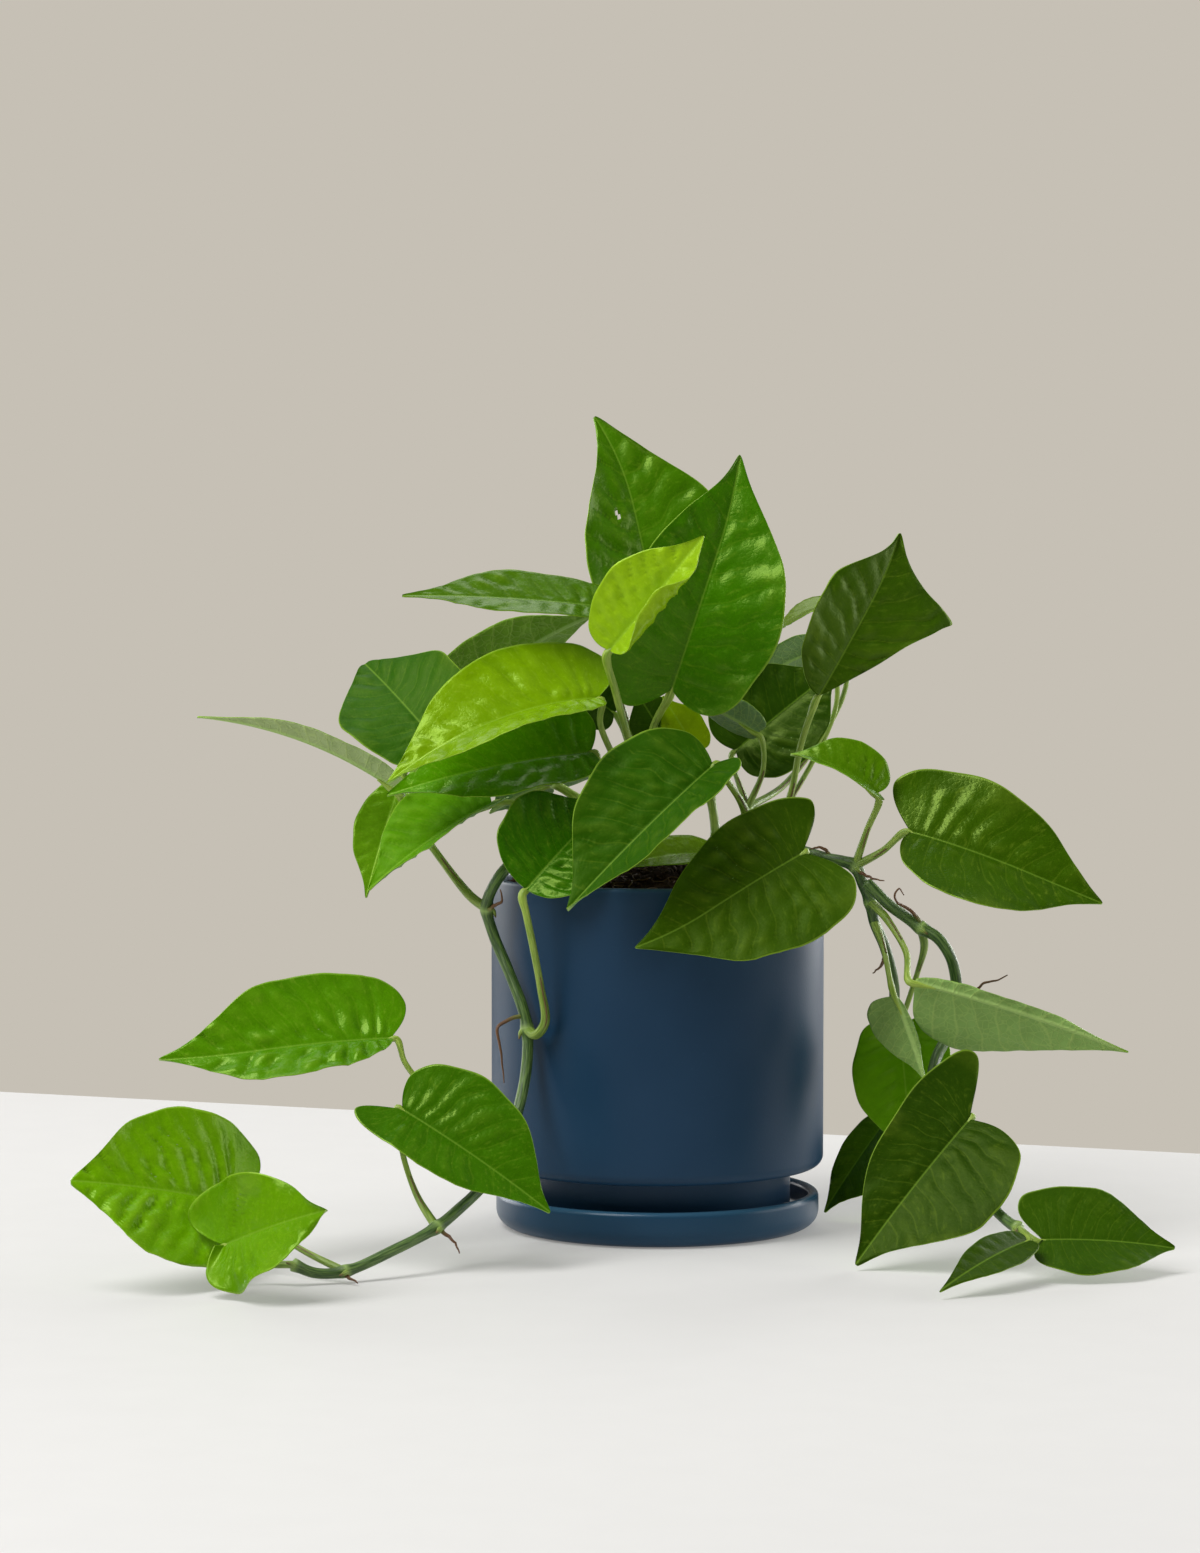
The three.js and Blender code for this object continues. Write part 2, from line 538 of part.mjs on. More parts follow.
// One entry per shoot: its stem from the root up, and the leafstalks that spring from points of that stem.
// A grafted shoot branches off another stem instead of rising from the soil.
const SHOOTS = [
  {
    name: "vine_left",
    radius: VINE_RADIUS,
    path: [
      [-30, -14, 150], [-31, -14, 170], [-42, -22, 173], [-55, -33, 170], [-66, -44, 166], [-73, -50, 157],
      [-76, -44, 147], [-73, -42, 135], [-66, -48, 119], [-60, -54, 104], [-58, -56, 95], [-58, -60, 81],
      [-60, -66, 68], [-64, -77, 54], [-69, -90, 42], [-76, -104, 33], [-86, -118, 25], [-95, -129, 19],
      [-112, -144, 12], [-132, -156, 5], [-144, -160, 5], [-153, -163, 9],
    ],
    nodes: [6, 10, 13, 17, 19, 21],
    rootlets: [
      { from: 17, via: [[-88, -132, 14], [-85, -134, 9]] },
      { from: 19, via: [[-126, -163, 2]] },
    ],
    stalks: [
      {
        leaf: "leaf_left_long", from: 6, via: [[-83, -41, 152], [-99, -29.6, 171], [-110, -31, 187]],
        radius: 1.8,
      },
      {
        leaf: "leaf_front_left_low", from: 10,
        via: [[-54, -62, 93], [-50, -65, 99], [-52, -67, 115], [-55, -71, 132], [-58, -74, 147]],
        radius: 1.7,
      },
      { leaf: "leaf_trail_left_1", from: 13, via: [[-78, -86, 55], [-98, -90, 70], [-110, -89, 84]] },
      { leaf: "leaf_trail_left_2", from: 17, via: [[-104, -116, 31], [-110, -112, 48]] },
      { leaf: "leaf_trail_left_3", from: 19, via: [[-150, -146, 12], [-166, -134, 20]] },
      { leaf: "leaf_trail_left_4", from: 21, via: [[-168, -160, 9]] },
    ],
  },
  {
    name: "vine_right_inner",
    radius: VINE_RADIUS,
    path: [
      [40, -8, 150], [41, -8, 170], [53, -15, 173], [64, -23, 171], [76, -30, 168], [82, -33, 167],
      [87, -34, 165], [91, -33, 156], [94, -31, 149], [96, -29, 140], [101, -27, 128], [105, -24, 113],
      [106, -14, 100], [106, 2, 84], [107, 11, 66], [106, 16, 54],
    ],
    nodes: [6, 8, 13],
    rootlets: [
      { from: 10, via: [[98, -30, 119], [95, -32, 117]] },
    ],
    stalks: [
      { leaf: "leaf_right_big", from: 6, via: [[99, -38, 172]], radius: 1.6 },
      { leaf: "leaf_right_small", from: 6, via: [[92, -38, 181]], radius: 1.5 },
      { leaf: "leaf_trail_right_long", from: 8, via: [[100, -43, 143], [108, -58, 129]], radius: 1.5 },
      { leaf: "leaf_trail_right_short", from: 9, via: [[99, -44, 130]] },
      { leaf: "leaf_trail_right_low", from: 15, via: [] },
    ],
  },
  {
    name: "vine_right_outer",
    radius: VINE_RADIUS,
    path: [
      [92, -40, 158], [96, -41, 154], [101, -41, 149], [109, -39, 143], [116, -40, 138], [123, -43, 134],
      [128, -44, 127], [131, -41, 118], [132, -38, 106], [129, -41, 93], [122, -50, 81], [119, -65, 69],
      [122, -82, 56], [130, -102, 40], [140, -120, 27], [147, -131, 21], [150, -136, 20],
    ],
    nodes: [4, 12, 16],
    grafted: true,
    rootlets: [
      { from: 4, via: [[113, -43, 144], [105, -46, 150], [104, -46, 154], [107, -46, 155]] },
      { from: 8, via: [[139, -44, 110], [145, -48, 115], [152, -50, 116]] },
    ],
    stalks: [
      {
        leaf: "leaf_trail_right_back", from: 4,
        via: [[118, -32, 129], [116, -22, 117], [112, -15, 102]],
      },
      { leaf: "leaf_trail_right_front", from: 12, via: [[130, -84, 60]] },
      { leaf: "leaf_ground_right_big", from: 16, via: [] },
      { leaf: "leaf_ground_right_small", from: 16, via: [] },
    ],
  },
  {
    name: "shoot_middle",
    radius: STEM_RADIUS,
    path: [[-2, -10, 150], [-2, -11, 176], [2, -18, 196]],
    nodes: [1, 2],
    stalks: [
      { leaf: "leaf_top_front", from: 2, via: [[-3, -16, 222]], radius: 1.8 },
      {
        leaf: "leaf_young_folded", from: 1, via: [[-8, -22, 194], [-13, -34, 219], [-19, -44, 242]],
        radius: 1.8,
      },
      {
        leaf: "leaf_bright", from: 1, via: [[-13, -26, 194], [-20, -34, 213], [-26, -40, 229]],
        radius: 1.5,
      },
    ],
  },
  {
    name: "shoot_back_centre",
    radius: STEM_RADIUS,
    path: [[-4, 8, 150], [-5, 8, 178], [-8, 8, 200], [-11, 7, 218]],
    nodes: [1, 2],
    stalks: [
      { leaf: "leaf_left_upper", from: 3, via: [[-18, 3, 242], [-22, -12, 265]] },
      { leaf: "leaf_top_back", from: 3, via: [[-1, 9, 242]], radius: 1.6 },
      { leaf: "leaf_dark_centre", from: 2, via: [] },
    ],
  },
  {
    name: "shoot_front",
    radius: STEM_RADIUS,
    path: [[26, -16, 150], [26, -16, 176], [23, -14, 196], [18, -18, 208]],
    nodes: [1, 2],
    stalks: [
      { leaf: "leaf_small_bright", from: 3, via: [] },
      { leaf: "leaf_dark_right", from: 2, via: [] },
    ],
  },
  {
    name: "shoot_front_right",
    radius: STEM_RADIUS,
    path: [[38, -25, 150], [38, -26, 172], [40, -29, 178]],
    nodes: [1],
    stalks: [
      { leaf: "leaf_front_centre", from: 2, via: [[38, -36, 190], [29, -52, 205]], radius: 1.6 },
      { leaf: "leaf_front_right", from: 1, via: [[52, -48, 172]], radius: 1.6 },
      { leaf: "leaf_low_centre", from: 1, via: [] },
    ],
  },
  {
    name: "shoot_back_right",
    radius: STEM_RADIUS,
    path: [[42, 10, 150], [42, 10, 172], [41, 12, 188]],
    nodes: [1, 2],
    stalks: [
      {
        leaf: "leaf_right_top", from: 1,
        via: [[52, 4, 180], [59, 0, 192], [64, -8, 217], [68, -15, 231]], radius: 1.6,
      },
      { leaf: "leaf_right_mid", from: 2, via: [] },
      { leaf: "leaf_mid_grey", from: 2, via: [[48, 10, 206]] },
      { leaf: "leaf_back_right_a", from: 2, via: [[62, 44, 200], [88, 62, 240], [88, 63, 272]] },
      { leaf: "leaf_back_right_b", from: 1, via: [[62, 46, 190], [84, 58, 235]] },
    ],
  },
  {
    name: "shoot_left",
    radius: STEM_RADIUS,
    path: [[-24, -6, 150], [-25, -6, 174], [-34, -12, 184]],
    nodes: [1, 2],
    stalks: [
      { leaf: "leaf_left_lower", from: 2, via: [[-54, -23, 190], [-65, -29, 193]] },
      { leaf: "leaf_under_bright", from: 1, via: [[-27, -20, 198]] },
    ],
  },
  {
    name: "shoot_back_left",
    radius: STEM_RADIUS,
    path: [[-22, 12, 150], [-24, 11, 176], [-36, 7, 192], [-47, 4, 200]],
    nodes: [1, 2, 3],
    stalks: [
      { leaf: "leaf_left_round", from: 3, via: [[-66, 2, 208], [-86, -3, 212]] },
      { leaf: "leaf_left_hang", from: 3, via: [[-75, -4, 201], [-100, -12, 204], [-112, -14, 208]] },
      { leaf: "leaf_left_turned", from: 3, via: [[-66, 22, 210], [-90, 40, 223]] },
      { leaf: "leaf_shade_left_1", from: 2, via: [[-44, 18, 198]] },
      { leaf: "leaf_shade_left_2", from: 1, via: [[-28, 28, 196]] },
    ],
  },
];

// ---------- assembly ----------

const FINISH = {
  glazed_pot: [0x1b3450, 0.35, 0],
  glazed_saucer: [0x1f3c58, 0.25, 0],
  potting_soil: [0x2d1c14, 0.95, 0],
  leaf_green: [0x2f6a12, 0.35, 0],
  leaf_dark: [0x214f16, 0.35, 0],
  leaf_bright: [0x8cbe14, 0.35, 0],
  stem_green: [0x5d7f35, 0.5, 0],
};

const BRIGHT = ["leaf_young_folded", "leaf_bright", "leaf_small_bright"];
const DARK = [
  "leaf_left_round", "leaf_right_top", "leaf_right_mid", "leaf_front_right", "leaf_dark_centre",
  "leaf_dark_right", "leaf_back_right_b", "leaf_mid_grey", "leaf_trail_right_back", "leaf_trail_right_low",
];

const plant = new THREE.Group();

function add(name, finish, geometry) {
  const [color, roughness, metalness] = FINISH[finish];
  const material = new THREE.MeshStandardMaterial({ color, roughness, metalness });
  const mesh = new THREE.Mesh(geometry, material);
  mesh.name = name;
  plant.add(mesh);
}

const leaves = new Map(LEAVES.map((leaf) => [leaf.name, leaf]));
const roots = [];
for (const shoot of SHOOTS.filter((one) => !one.grafted)) {
  const at = grown(shoot.path[0]);
  at.z = soilTop(at.x, at.y) - PLANTING_DEPTH;
  roots.push({ at, radius: shoot.radius });
}

add("pot", "glazed_pot", potGeometry());
add("saucer", "glazed_saucer", saucerGeometry());
add("soil", "potting_soil", soilSolid(roots));
for (const shoot of SHOOTS) add(shoot.name, "stem_green", shootGeometry(shoot, leaves));
for (const leaf of LEAVES) {
  const shade = DARK.includes(leaf.name) ? "leaf_dark" : "leaf_green";
  const finish = BRIGHT.includes(leaf.name) ? "leaf_bright" : shade;
  add(leaf.name, finish, leafGeometry(leaf));
}

export default plant;
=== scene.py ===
"""A pothos houseplant in a round glazed planter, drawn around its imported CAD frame.

Sizes in the tables are millimetres, as in the CAD part; Blender's own units are metres.
"""

import itertools
import json
import math

import bpy
import numpy as np
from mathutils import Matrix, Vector


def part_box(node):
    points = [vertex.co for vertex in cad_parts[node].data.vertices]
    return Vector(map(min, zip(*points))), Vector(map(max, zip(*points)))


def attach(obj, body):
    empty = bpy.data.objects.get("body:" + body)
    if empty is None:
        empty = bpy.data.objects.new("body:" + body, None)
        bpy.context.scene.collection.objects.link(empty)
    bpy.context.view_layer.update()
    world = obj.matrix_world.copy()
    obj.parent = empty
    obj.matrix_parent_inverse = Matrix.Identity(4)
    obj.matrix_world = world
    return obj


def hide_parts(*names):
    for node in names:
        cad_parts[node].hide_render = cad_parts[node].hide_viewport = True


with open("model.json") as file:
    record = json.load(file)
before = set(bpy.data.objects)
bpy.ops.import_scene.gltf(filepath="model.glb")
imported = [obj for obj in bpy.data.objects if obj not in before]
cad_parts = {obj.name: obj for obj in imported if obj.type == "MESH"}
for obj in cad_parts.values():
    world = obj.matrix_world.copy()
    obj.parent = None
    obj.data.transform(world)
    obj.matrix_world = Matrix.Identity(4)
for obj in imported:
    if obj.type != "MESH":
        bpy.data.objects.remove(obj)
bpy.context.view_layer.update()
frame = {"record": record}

MM = 0.001
POT_LOW, POT_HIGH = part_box("pot")
SAUCER_LOW, SAUCER_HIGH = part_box("saucer")
SOIL_LOW, SOIL_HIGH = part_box("soil")
RIM = POT_HIGH[2] / MM

# Leaves
ROW_STEP = 1.5
BLADE_THICKNESS = 0.55
VEINS = 11
QUILT = 2.1
MIDRIB_GROOVE = 0.45
MIDRIB_RIDGE = 0.8
LARGE_HALF_WIDTH = 35
PALE_UNDERSIDE = (118, 158, 92)
# Stems
VINE_RADIUS = 2.5
STEM_RADIUS = 2.2
PETIOLE_RADIUS = 1.3
PLANTING_DEPTH = 14
LONG_STALK = 30
# Planter and saucer
POT_WALL = 3.2
POT_CORNER = 5
POT_BOTTOM = 27.6
FLOOR_THICKNESS = 4
FOOT_RADIUS = 60
FOOT_WALL = 4
DRAIN_RADIUS = 6
SAUCER_FLOOR = 5
SAUCER_WALL = 5
SAUCER_CORNER = 8
LATHE_SEGMENTS = 192
# Soil, measured from the rim
SOIL_RADIUS = SOIL_HIGH[0] / MM
SOIL_DROP = 5
SOIL_HEAP = 12
CRUMBS = 1500
FIBRES = 230
# Camera, in metres, degrees and millimetres of lens
CAMERA_PLACE = (-0.026, -1.855, 0.297)
CAMERA_DIP = 2.9
CAMERA_LENS = 95.46


# ---------- meshes ----------


def rng_for(name):
    """A random source that depends only on a piece's name."""
    return np.random.default_rng(sum(ord(c) * (i + 3) for i, c in enumerate(name)))


def make_object(name, points, faces, materials, slots=None):
    """An object from points in millimetres and lists of faces, shaded smooth."""
    mesh = bpy.data.meshes.new(name)
    mesh.from_pydata((np.asarray(points, float) * MM).tolist(), [], faces)
    for material in materials:
        mesh.materials.append(material)
    if slots is not None:
        mesh.polygons.foreach_set("material_index", np.asarray(slots, np.int32))
    mesh.polygons.foreach_set("use_smooth", np.ones(len(mesh.polygons), bool))
    mesh.update()
    obj = bpy.data.objects.new(name, mesh)
    bpy.context.scene.collection.objects.link(obj)
    return obj


def paint(obj, name, values):
    """Keeps a number or a vector for each vertex, for the material to read."""
    values = np.asarray(values, np.float32)
    kind = "FLOAT" if values.ndim == 1 else "FLOAT_VECTOR"
    attribute = obj.data.attributes.new(name, kind, "POINT")
    attribute.data.foreach_set("value" if values.ndim == 1 else "vector", values.ravel())


def lattice_noise(rng, x, y, cells=64):
    """Smooth random values from -1 to 1 over the plane, repeating every so many cells."""
    table = rng.uniform(-1, 1, (cells, cells))
    i, j = np.floor(x).astype(int), np.floor(y).astype(int)
    u, v = x - i, y - j
    u, v = u * u * (3 - 2 * u), v * v * (3 - 2 * v)
    i0, j0, i1, j1 = i % cells, j % cells, (i + 1) % cells, (j + 1) % cells
    low = table[i0, j0] * (1 - u) + table[i1, j0] * u
    high = table[i0, j1] * (1 - u) + table[i1, j1] * u
    return low * (1 - v) + high * v


def smoothstep(x, low, high):
    t = np.clip((x - low) / (high - low), 0, 1)
    return t * t * (3 - 2 * t)


def join_rows(rows):
    """Faces between closed rows of point numbers; a row that repeats one number closes to a point."""
    faces = []
    for low, high in zip(rows, rows[1:]):
        for i in range(len(low)):
            corners = [low[i - 1], low[i], high[i], high[i - 1]]
            face = tuple(c for n, c in enumerate(corners) if c != corners[n - 1])
            if len(face) > 2:
                faces.append(face)
    return faces


def lathe(profile, segments=LATHE_SEGMENTS):
    """A closed surface of revolution from [radius, height] points; ends on the axis close to a point."""
    points, rows = [], []
    for r, z in profile:
        if r < 1e-6:
            rows.append([len(points)] * segments)
            points.append((0, 0, z))
            continue
        rows.append(range(len(points), len(points) + segments))
        for i in range(segments):
            a = 2 * math.pi * i / segments
            points.append((r * math.cos(a), r * math.sin(a), z))
    return points, join_rows(rows)


def arc(cx, cz, radius, start, end, steps):
    """Points of a round in a profile, from one angle to another in degrees."""
    angles = np.radians(np.linspace(start, end, steps + 1))
    return [(cx + radius * math.cos(a), cz + radius * math.sin(a)) for a in angles]


def icosahedron():
    """The corners of an icosahedron about a unit in radius, and its faces turned outwards."""
    golden = (1 + 5**0.5) / 2
    corners = np.array([(0, a, b) for a in (-1, 1) for b in (-golden, golden)])
    corners = np.vstack([corners, corners[:, [2, 0, 1]], corners[:, [1, 2, 0]]]) / 1.9
    faces = []
    for p, q, s in itertools.combinations(range(12), 3):
        if any(np.linalg.norm(corners[u] - corners[v]) > 1.2 for u, v in ((p, q), (q, s), (p, s))):
            continue
        normal = np.cross(corners[q] - corners[p], corners[s] - corners[p])
        faces.append((p, q, s) if normal.dot(corners[p]) > 0 else (p, s, q))
    return corners, faces


def finish(obj, slot, node=None):
    """Rides a mesh on the root body, in place of a CAD node if it stands for one."""
    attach(obj, "root")
    if node:
        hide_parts(node)


# ---------- material nodes ----------


class Nodes:
    """A short way to build one material's node tree."""

    def __init__(self, name):
        self.material = bpy.data.materials.new(name)
        self.material.use_nodes = True
        self.tree = self.material.node_tree
        self.shader = self.tree.nodes["Principled BSDF"]

    def add(self, kind, inputs=(), **settings):
        node = self.tree.nodes.new("ShaderNode" + kind)
        for key, value in settings.items():
            setattr(node, key, value)
        for key, value in dict(inputs).items():
            self.put(node.inputs[key], value)
        return node

    def put(self, socket, value):
        if isinstance(value, bpy.types.NodeSocket):
            self.tree.links.new(value, socket)
        else:
            socket.default_value = value

    def set(self, **values):
        for key, value in values.items():
            self.put(self.shader.inputs[key.replace("_", " ")], value)

    def math(self, operation, a, b=0.0, c=0.0):
        return self.add("Math", {0: a, 1: b, 2: c}, operation=operation).outputs[0]

    def ramp(self, value, low, high, start=0.0, end=1.0):
        """The value's place between low and high, smoothed, as a number from start to end."""
        inputs = {"Value": value, "From Min": low, "From Max": high, "To Min": start, "To Max": end}
        return self.add("MapRange", inputs, interpolation_type="SMOOTHSTEP").outputs[0]

    def mix(self, share, a, b, blend="MIX"):
        node = self.add("Mix", data_type="RGBA", blend_type=blend)
        self.put(node.inputs[0], share)
        self.put(node.inputs[6], a)
        self.put(node.inputs[7], b)
        return node.outputs[2]

    def vector(self, name):
        return self.add("Attribute", attribute_name=name).outputs["Vector"]

    def value(self, name):
        return self.add("Attribute", attribute_name=name).outputs["Fac"]

    def split(self, vector):
        return self.add("SeparateXYZ", {0: vector}).outputs

    def noise(self, vector, scale, detail=2.0, roughness=0.5):
        inputs = {"Vector": vector, "Scale": scale, "Detail": detail, "Roughness": roughness}
        return self.add("TexNoise", inputs).outputs[0]

    def net(self, vector, scale):
        """The distance to the nearest thread of an irregular net."""
        inputs = {"Vector": vector, "Scale": scale}
        return self.add("TexVoronoi", inputs, feature="DISTANCE_TO_EDGE").outputs[0]

    def place(self):
        """Where a point is on the object, in metres."""
        return self.add("TexCoord").outputs["Object"]

    def bump(self, height, distance, strength=1.0):
        inputs = {"Height": height, "Distance": distance, "Strength": strength}
        self.set(Normal=self.add("Bump", inputs).outputs[0])


def color(red, green, blue):
    """An sRGB colour given from 0 to 255, as Blender's linear colour."""
    shares = [c / 255 for c in (red, green, blue)]
    linear = [c / 12.92 if c <= 10 / 255 else ((c + 0.055) / 1.055) ** 2.4 for c in shares]
    return (*linear, 1.0)


# ---------- leaves ----------


def leaf_maps(n):
    """A leaf's own coordinates: along the veins, flat, between two veins, to the margin, from the midrib."""
    grain = n.vector("leaf_grain")
    plan = n.vector("leaf_plan")
    phase, side, _ = n.split(grain)
    from_vein = n.math("PINGPONG", phase, 0.5)
    return grain, plan, from_vein, n.math("ABSOLUTE", side), n.math("ABSOLUTE", n.split(plan)[0])


def upper_material(name, rough, streak, shine=0.5):
    """The glossy upper side of a leaf: pale midrib and veins, quilted flesh with painted shade in the valleys
    and a painted highlight on the swellings, streaks along the veins.
    """
    n = Nodes(name)
    base = n.vector("leaf_color")
    relief = n.value("leaf_relief")
    grain, plan, from_vein, reach, from_midrib = leaf_maps(n)
    vein = n.math("MULTIPLY", n.ramp(from_vein, 0.0, 0.06, 1.0, 0.0), n.ramp(reach, 0.5, 0.95, 1.0, 0.0))
    midrib = n.ramp(from_midrib, 0.15, 0.6, 1.0, 0.0)
    margin = n.ramp(reach, 0.972, 0.995)
    fleck = n.noise(grain, 6.0, 3.0, 0.6)
    cloud = n.noise(plan, 0.045, 2.0)
    mottle = n.noise(plan, 0.4, 4.0, 0.65)
    deep = n.mix(0.75, base, (0.3, 0.42, 0.25, 1), "MULTIPLY")
    pale = n.mix(0.5, base, color(168, 196, 60))
    flesh = n.mix(n.ramp(cloud, 0.35, 0.65, 0.0, 0.85), n.mix(0.25, base, deep), base)
    # Painted shade: the valleys between the swellings are darkened.
    flesh = n.mix(n.ramp(relief, -0.9, 0.0, 0.4, 0.0), flesh, deep)
    # Painted highlight: the tops of the swellings are paled.
    flesh = n.mix(n.ramp(relief, 0.1, 1.2, 0.0, 0.15), flesh, pale)
    flesh = n.mix(n.ramp(fleck, 0.52, 0.8, 0.0, streak), flesh, pale)
    flesh = n.mix(n.ramp(mottle, 0.35, 0.7, 0.22, 0.0), flesh, deep)
    flesh = n.mix(n.math("MULTIPLY", vein, 0.12), flesh, pale)
    flesh = n.mix(n.math("MULTIPLY", midrib, 0.27), flesh, color(140, 180, 60))
    flesh = n.mix(n.math("MULTIPLY", margin, 0.5), flesh, color(150, 185, 60))
    n.set(Base_Color=flesh, Roughness=n.ramp(mottle, 0.3, 0.8, rough, rough + 0.1))
    n.set(Specular_IOR_Level=shine, Specular_Tint=(0.62, 0.9, 0.16, 1.0))
    net = n.ramp(n.net(plan, 0.42), 0.0, 0.25)
    n.bump(n.math("ADD", net, n.math("MULTIPLY", mottle, 1.4)), 0.0002, 0.14)
    return n.material


def under_material(name):
    """The matt, pale underside with its raised veins and fine net."""
    n = Nodes(name)
    base = n.vector("under_color")
    _, plan, from_vein, _, from_midrib = leaf_maps(n)
    vein = n.ramp(from_vein, 0.0, 0.08, 1.0, 0.0)
    midrib = n.ramp(from_midrib, 0.6, 1.5, 1.0, 0.0)
    net = n.net(plan, 0.3)
    mottle = n.noise(plan, 0.15, 3.0, 0.5)
    pale = n.mix(0.5, base, color(178, 200, 110))
    deep = n.mix(0.6, base, (0.45, 0.55, 0.4, 1), "MULTIPLY")
    flesh = n.mix(n.ramp(mottle, 0.3, 0.75, 0.45, 0.0), base, deep)
    flesh = n.mix(n.ramp(net, 0.0, 0.09, 0.4, 0.0), flesh, pale)
    flesh = n.mix(n.math("MULTIPLY", vein, 0.5), flesh, pale)
    flesh = n.mix(n.math("MULTIPLY", midrib, 0.8), flesh, color(160, 190, 110))
    n.set(Base_Color=flesh, Roughness=n.ramp(mottle, 0.3, 0.8, 0.5, 0.65))
    n.set(Specular_IOR_Level=0.3, Specular_Tint=(0.7, 0.9, 0.35, 1.0))
    relief = n.math("ADD", n.ramp(net, 0.0, 0.12, 1.0, 0.0), n.math("ADD", vein, mottle))
    n.bump(relief, 0.0003, 0.5)
    return n.material


def sides(value):
    """The left and right halves' values from one value or a pair."""
    return value if isinstance(value, tuple) else (value, value)


def leaf_frame(leaf):
    """A leaf's base, length and three directions: to the tip, out of the face, and across."""
    base, tip = np.array(leaf["base"], float), np.array(leaf["tip"], float)
    along = tip - base
    length = float(np.linalg.norm(along))
    along /= length
    face = np.array(leaf["face"], float)
    face -= along * face.dot(along)
    face /= np.linalg.norm(face)
    return base, length, along, face, np.cross(along, face)


def leaf_surface(leaf):
    """The blade's length, and a function that lays flat points on its curved upper side, sunk by a depth."""
    base, length, along, face, across = leaf_frame(leaf)
    bow = math.radians(leaf.get("droop", 0.5))
    blade = length * bow / 2 / math.sin(bow / 2)
    bend = bow / blade
    half = sides(leaf["width"])
    fold = [math.radians(a) for a in sides(leaf.get("fold", 0))]
    curl = [math.radians(a) for a in sides(leaf.get("curl", 0.5))]
    twist = math.radians(leaf.get("twist", 0))
    hook = leaf.get("hook", 0)

    def at(s, y, depth):
        s, y = np.asarray(s, float), np.asarray(y, float)
        left = s < 0
        side = np.where(left, -1.0, 1.0)
        # Across the blade: each half leaves the midrib at its fold and turns on by its curl.
        a0 = np.where(left, fold[0], fold[1])
        k = np.where(left, curl[0] / half[0], curl[1] / half[1])
        a1 = a0 + k * np.abs(s)
        normal = np.where(np.abs(s) < 1e-9, 0.0, a1)
        lateral = (np.sin(a1) - np.sin(a0)) / k + depth * np.sin(normal)
        rise = (np.cos(a0) - np.cos(a1)) / k - depth * np.cos(normal)
        turn = twist * (y / blade - 0.5)
        swing = hook * np.maximum(0, y / blade / 0.4 - 1.5) ** 2
        x = side * lateral * np.cos(turn) - rise * np.sin(turn) + swing
        z = side * lateral * np.sin(turn) + rise * np.cos(turn)
        # Along the blade: an arch from base to tip, which the lobes leave in a straight line.
        run = np.maximum(0, y)
        behind = np.minimum(0, y)
        pitch = bow / 2 - bend * run
        py = (math.sin(bow / 2) - np.sin(pitch)) / bend + behind * math.cos(bow / 2)
        pz = (np.cos(pitch) - math.cos(bow / 2)) / bend + behind * math.sin(bow / 2)
        ly, lz = py - z * np.sin(pitch), pz + z * np.cos(pitch)
        return base + x[..., None] * across + ly[..., None] * along + lz[..., None] * face

    return blade, at


def leaf_outline(leaf, blade, half, rng):
    """Flat points in rows and columns: distances from the midrib and base, and shares of the half width."""
    lobes = sides(leaf.get("lobe", 0.3))
    bellies = sides(leaf.get("belly", 0.85))
    rows = int(min(84, max(26, 1.3 * blade / ROW_STEP)))
    columns = int(min(30, max(9, 1.15 * max(half) / ROW_STEP)))
    i = np.arange(1, rows)[:, None]
    j = np.arange(-columns, columns + 1)[None, :]
    a = i / rows * math.pi / 2
    left = j < 0
    t = np.abs(j) / columns
    rounded = np.sin(a) ** 2
    middle = rounded**1.25
    lobe = np.where(left, lobes[0], lobes[1])
    belly = np.where(left, bellies[0], bellies[1])
    edge = 0.85 * rounded**belly + 0.15 * rounded**16 - lobe * np.sin(2 * a) * np.cos(a) ** 3
    point = leaf.get("point", 1.1)
    widest = math.sqrt(1 + point) * (1 + 1 / point) ** (point / 2)
    share = widest * np.sin(a) * np.cos(a) ** point * (1 - 0.7 * rounded**7)
    lead, swing = rng.uniform(0, 6, 2)
    share = share * (1 + 0.02 * np.sin(11 * a + lead + 2 * left) + 0.012 * np.sin(23 * a + swing + left))
    s = np.sign(j) * t * share * np.where(left, half[0], half[1])
    y = blade * (middle + (edge - middle) * t)
    s = np.concatenate([[0, 0], s.ravel()])
    y = np.concatenate([[0, blade], y.ravel()])
    r = np.concatenate([[0, 0], (t + 0 * share).ravel()])
    return rows, columns, s, y, r


def vein_phase(reach, y, blade):
    """How many lateral veins lie between the base and the vein through each point: whole on a vein."""
    low, high = np.zeros_like(y), np.full_like(y, blade)
    for _ in range(24):
        start = (low + high) / 2
        slope = -1.6 + 2.4 * (start / blade) ** 0.18
        past = start + reach * slope + 0.5 * reach**2 / blade > y
        high, low = np.where(past, start, high), np.where(past, low, start)
    return VEINS * (low / blade) ** 0.6


def midrib(height, width, s, y, blade):
    """A rib down the middle of the blade, lower towards the tip."""
    return height * np.exp(-((s / width) ** 2)) * (1 - 0.75 * np.clip(y / blade, 0, 1))


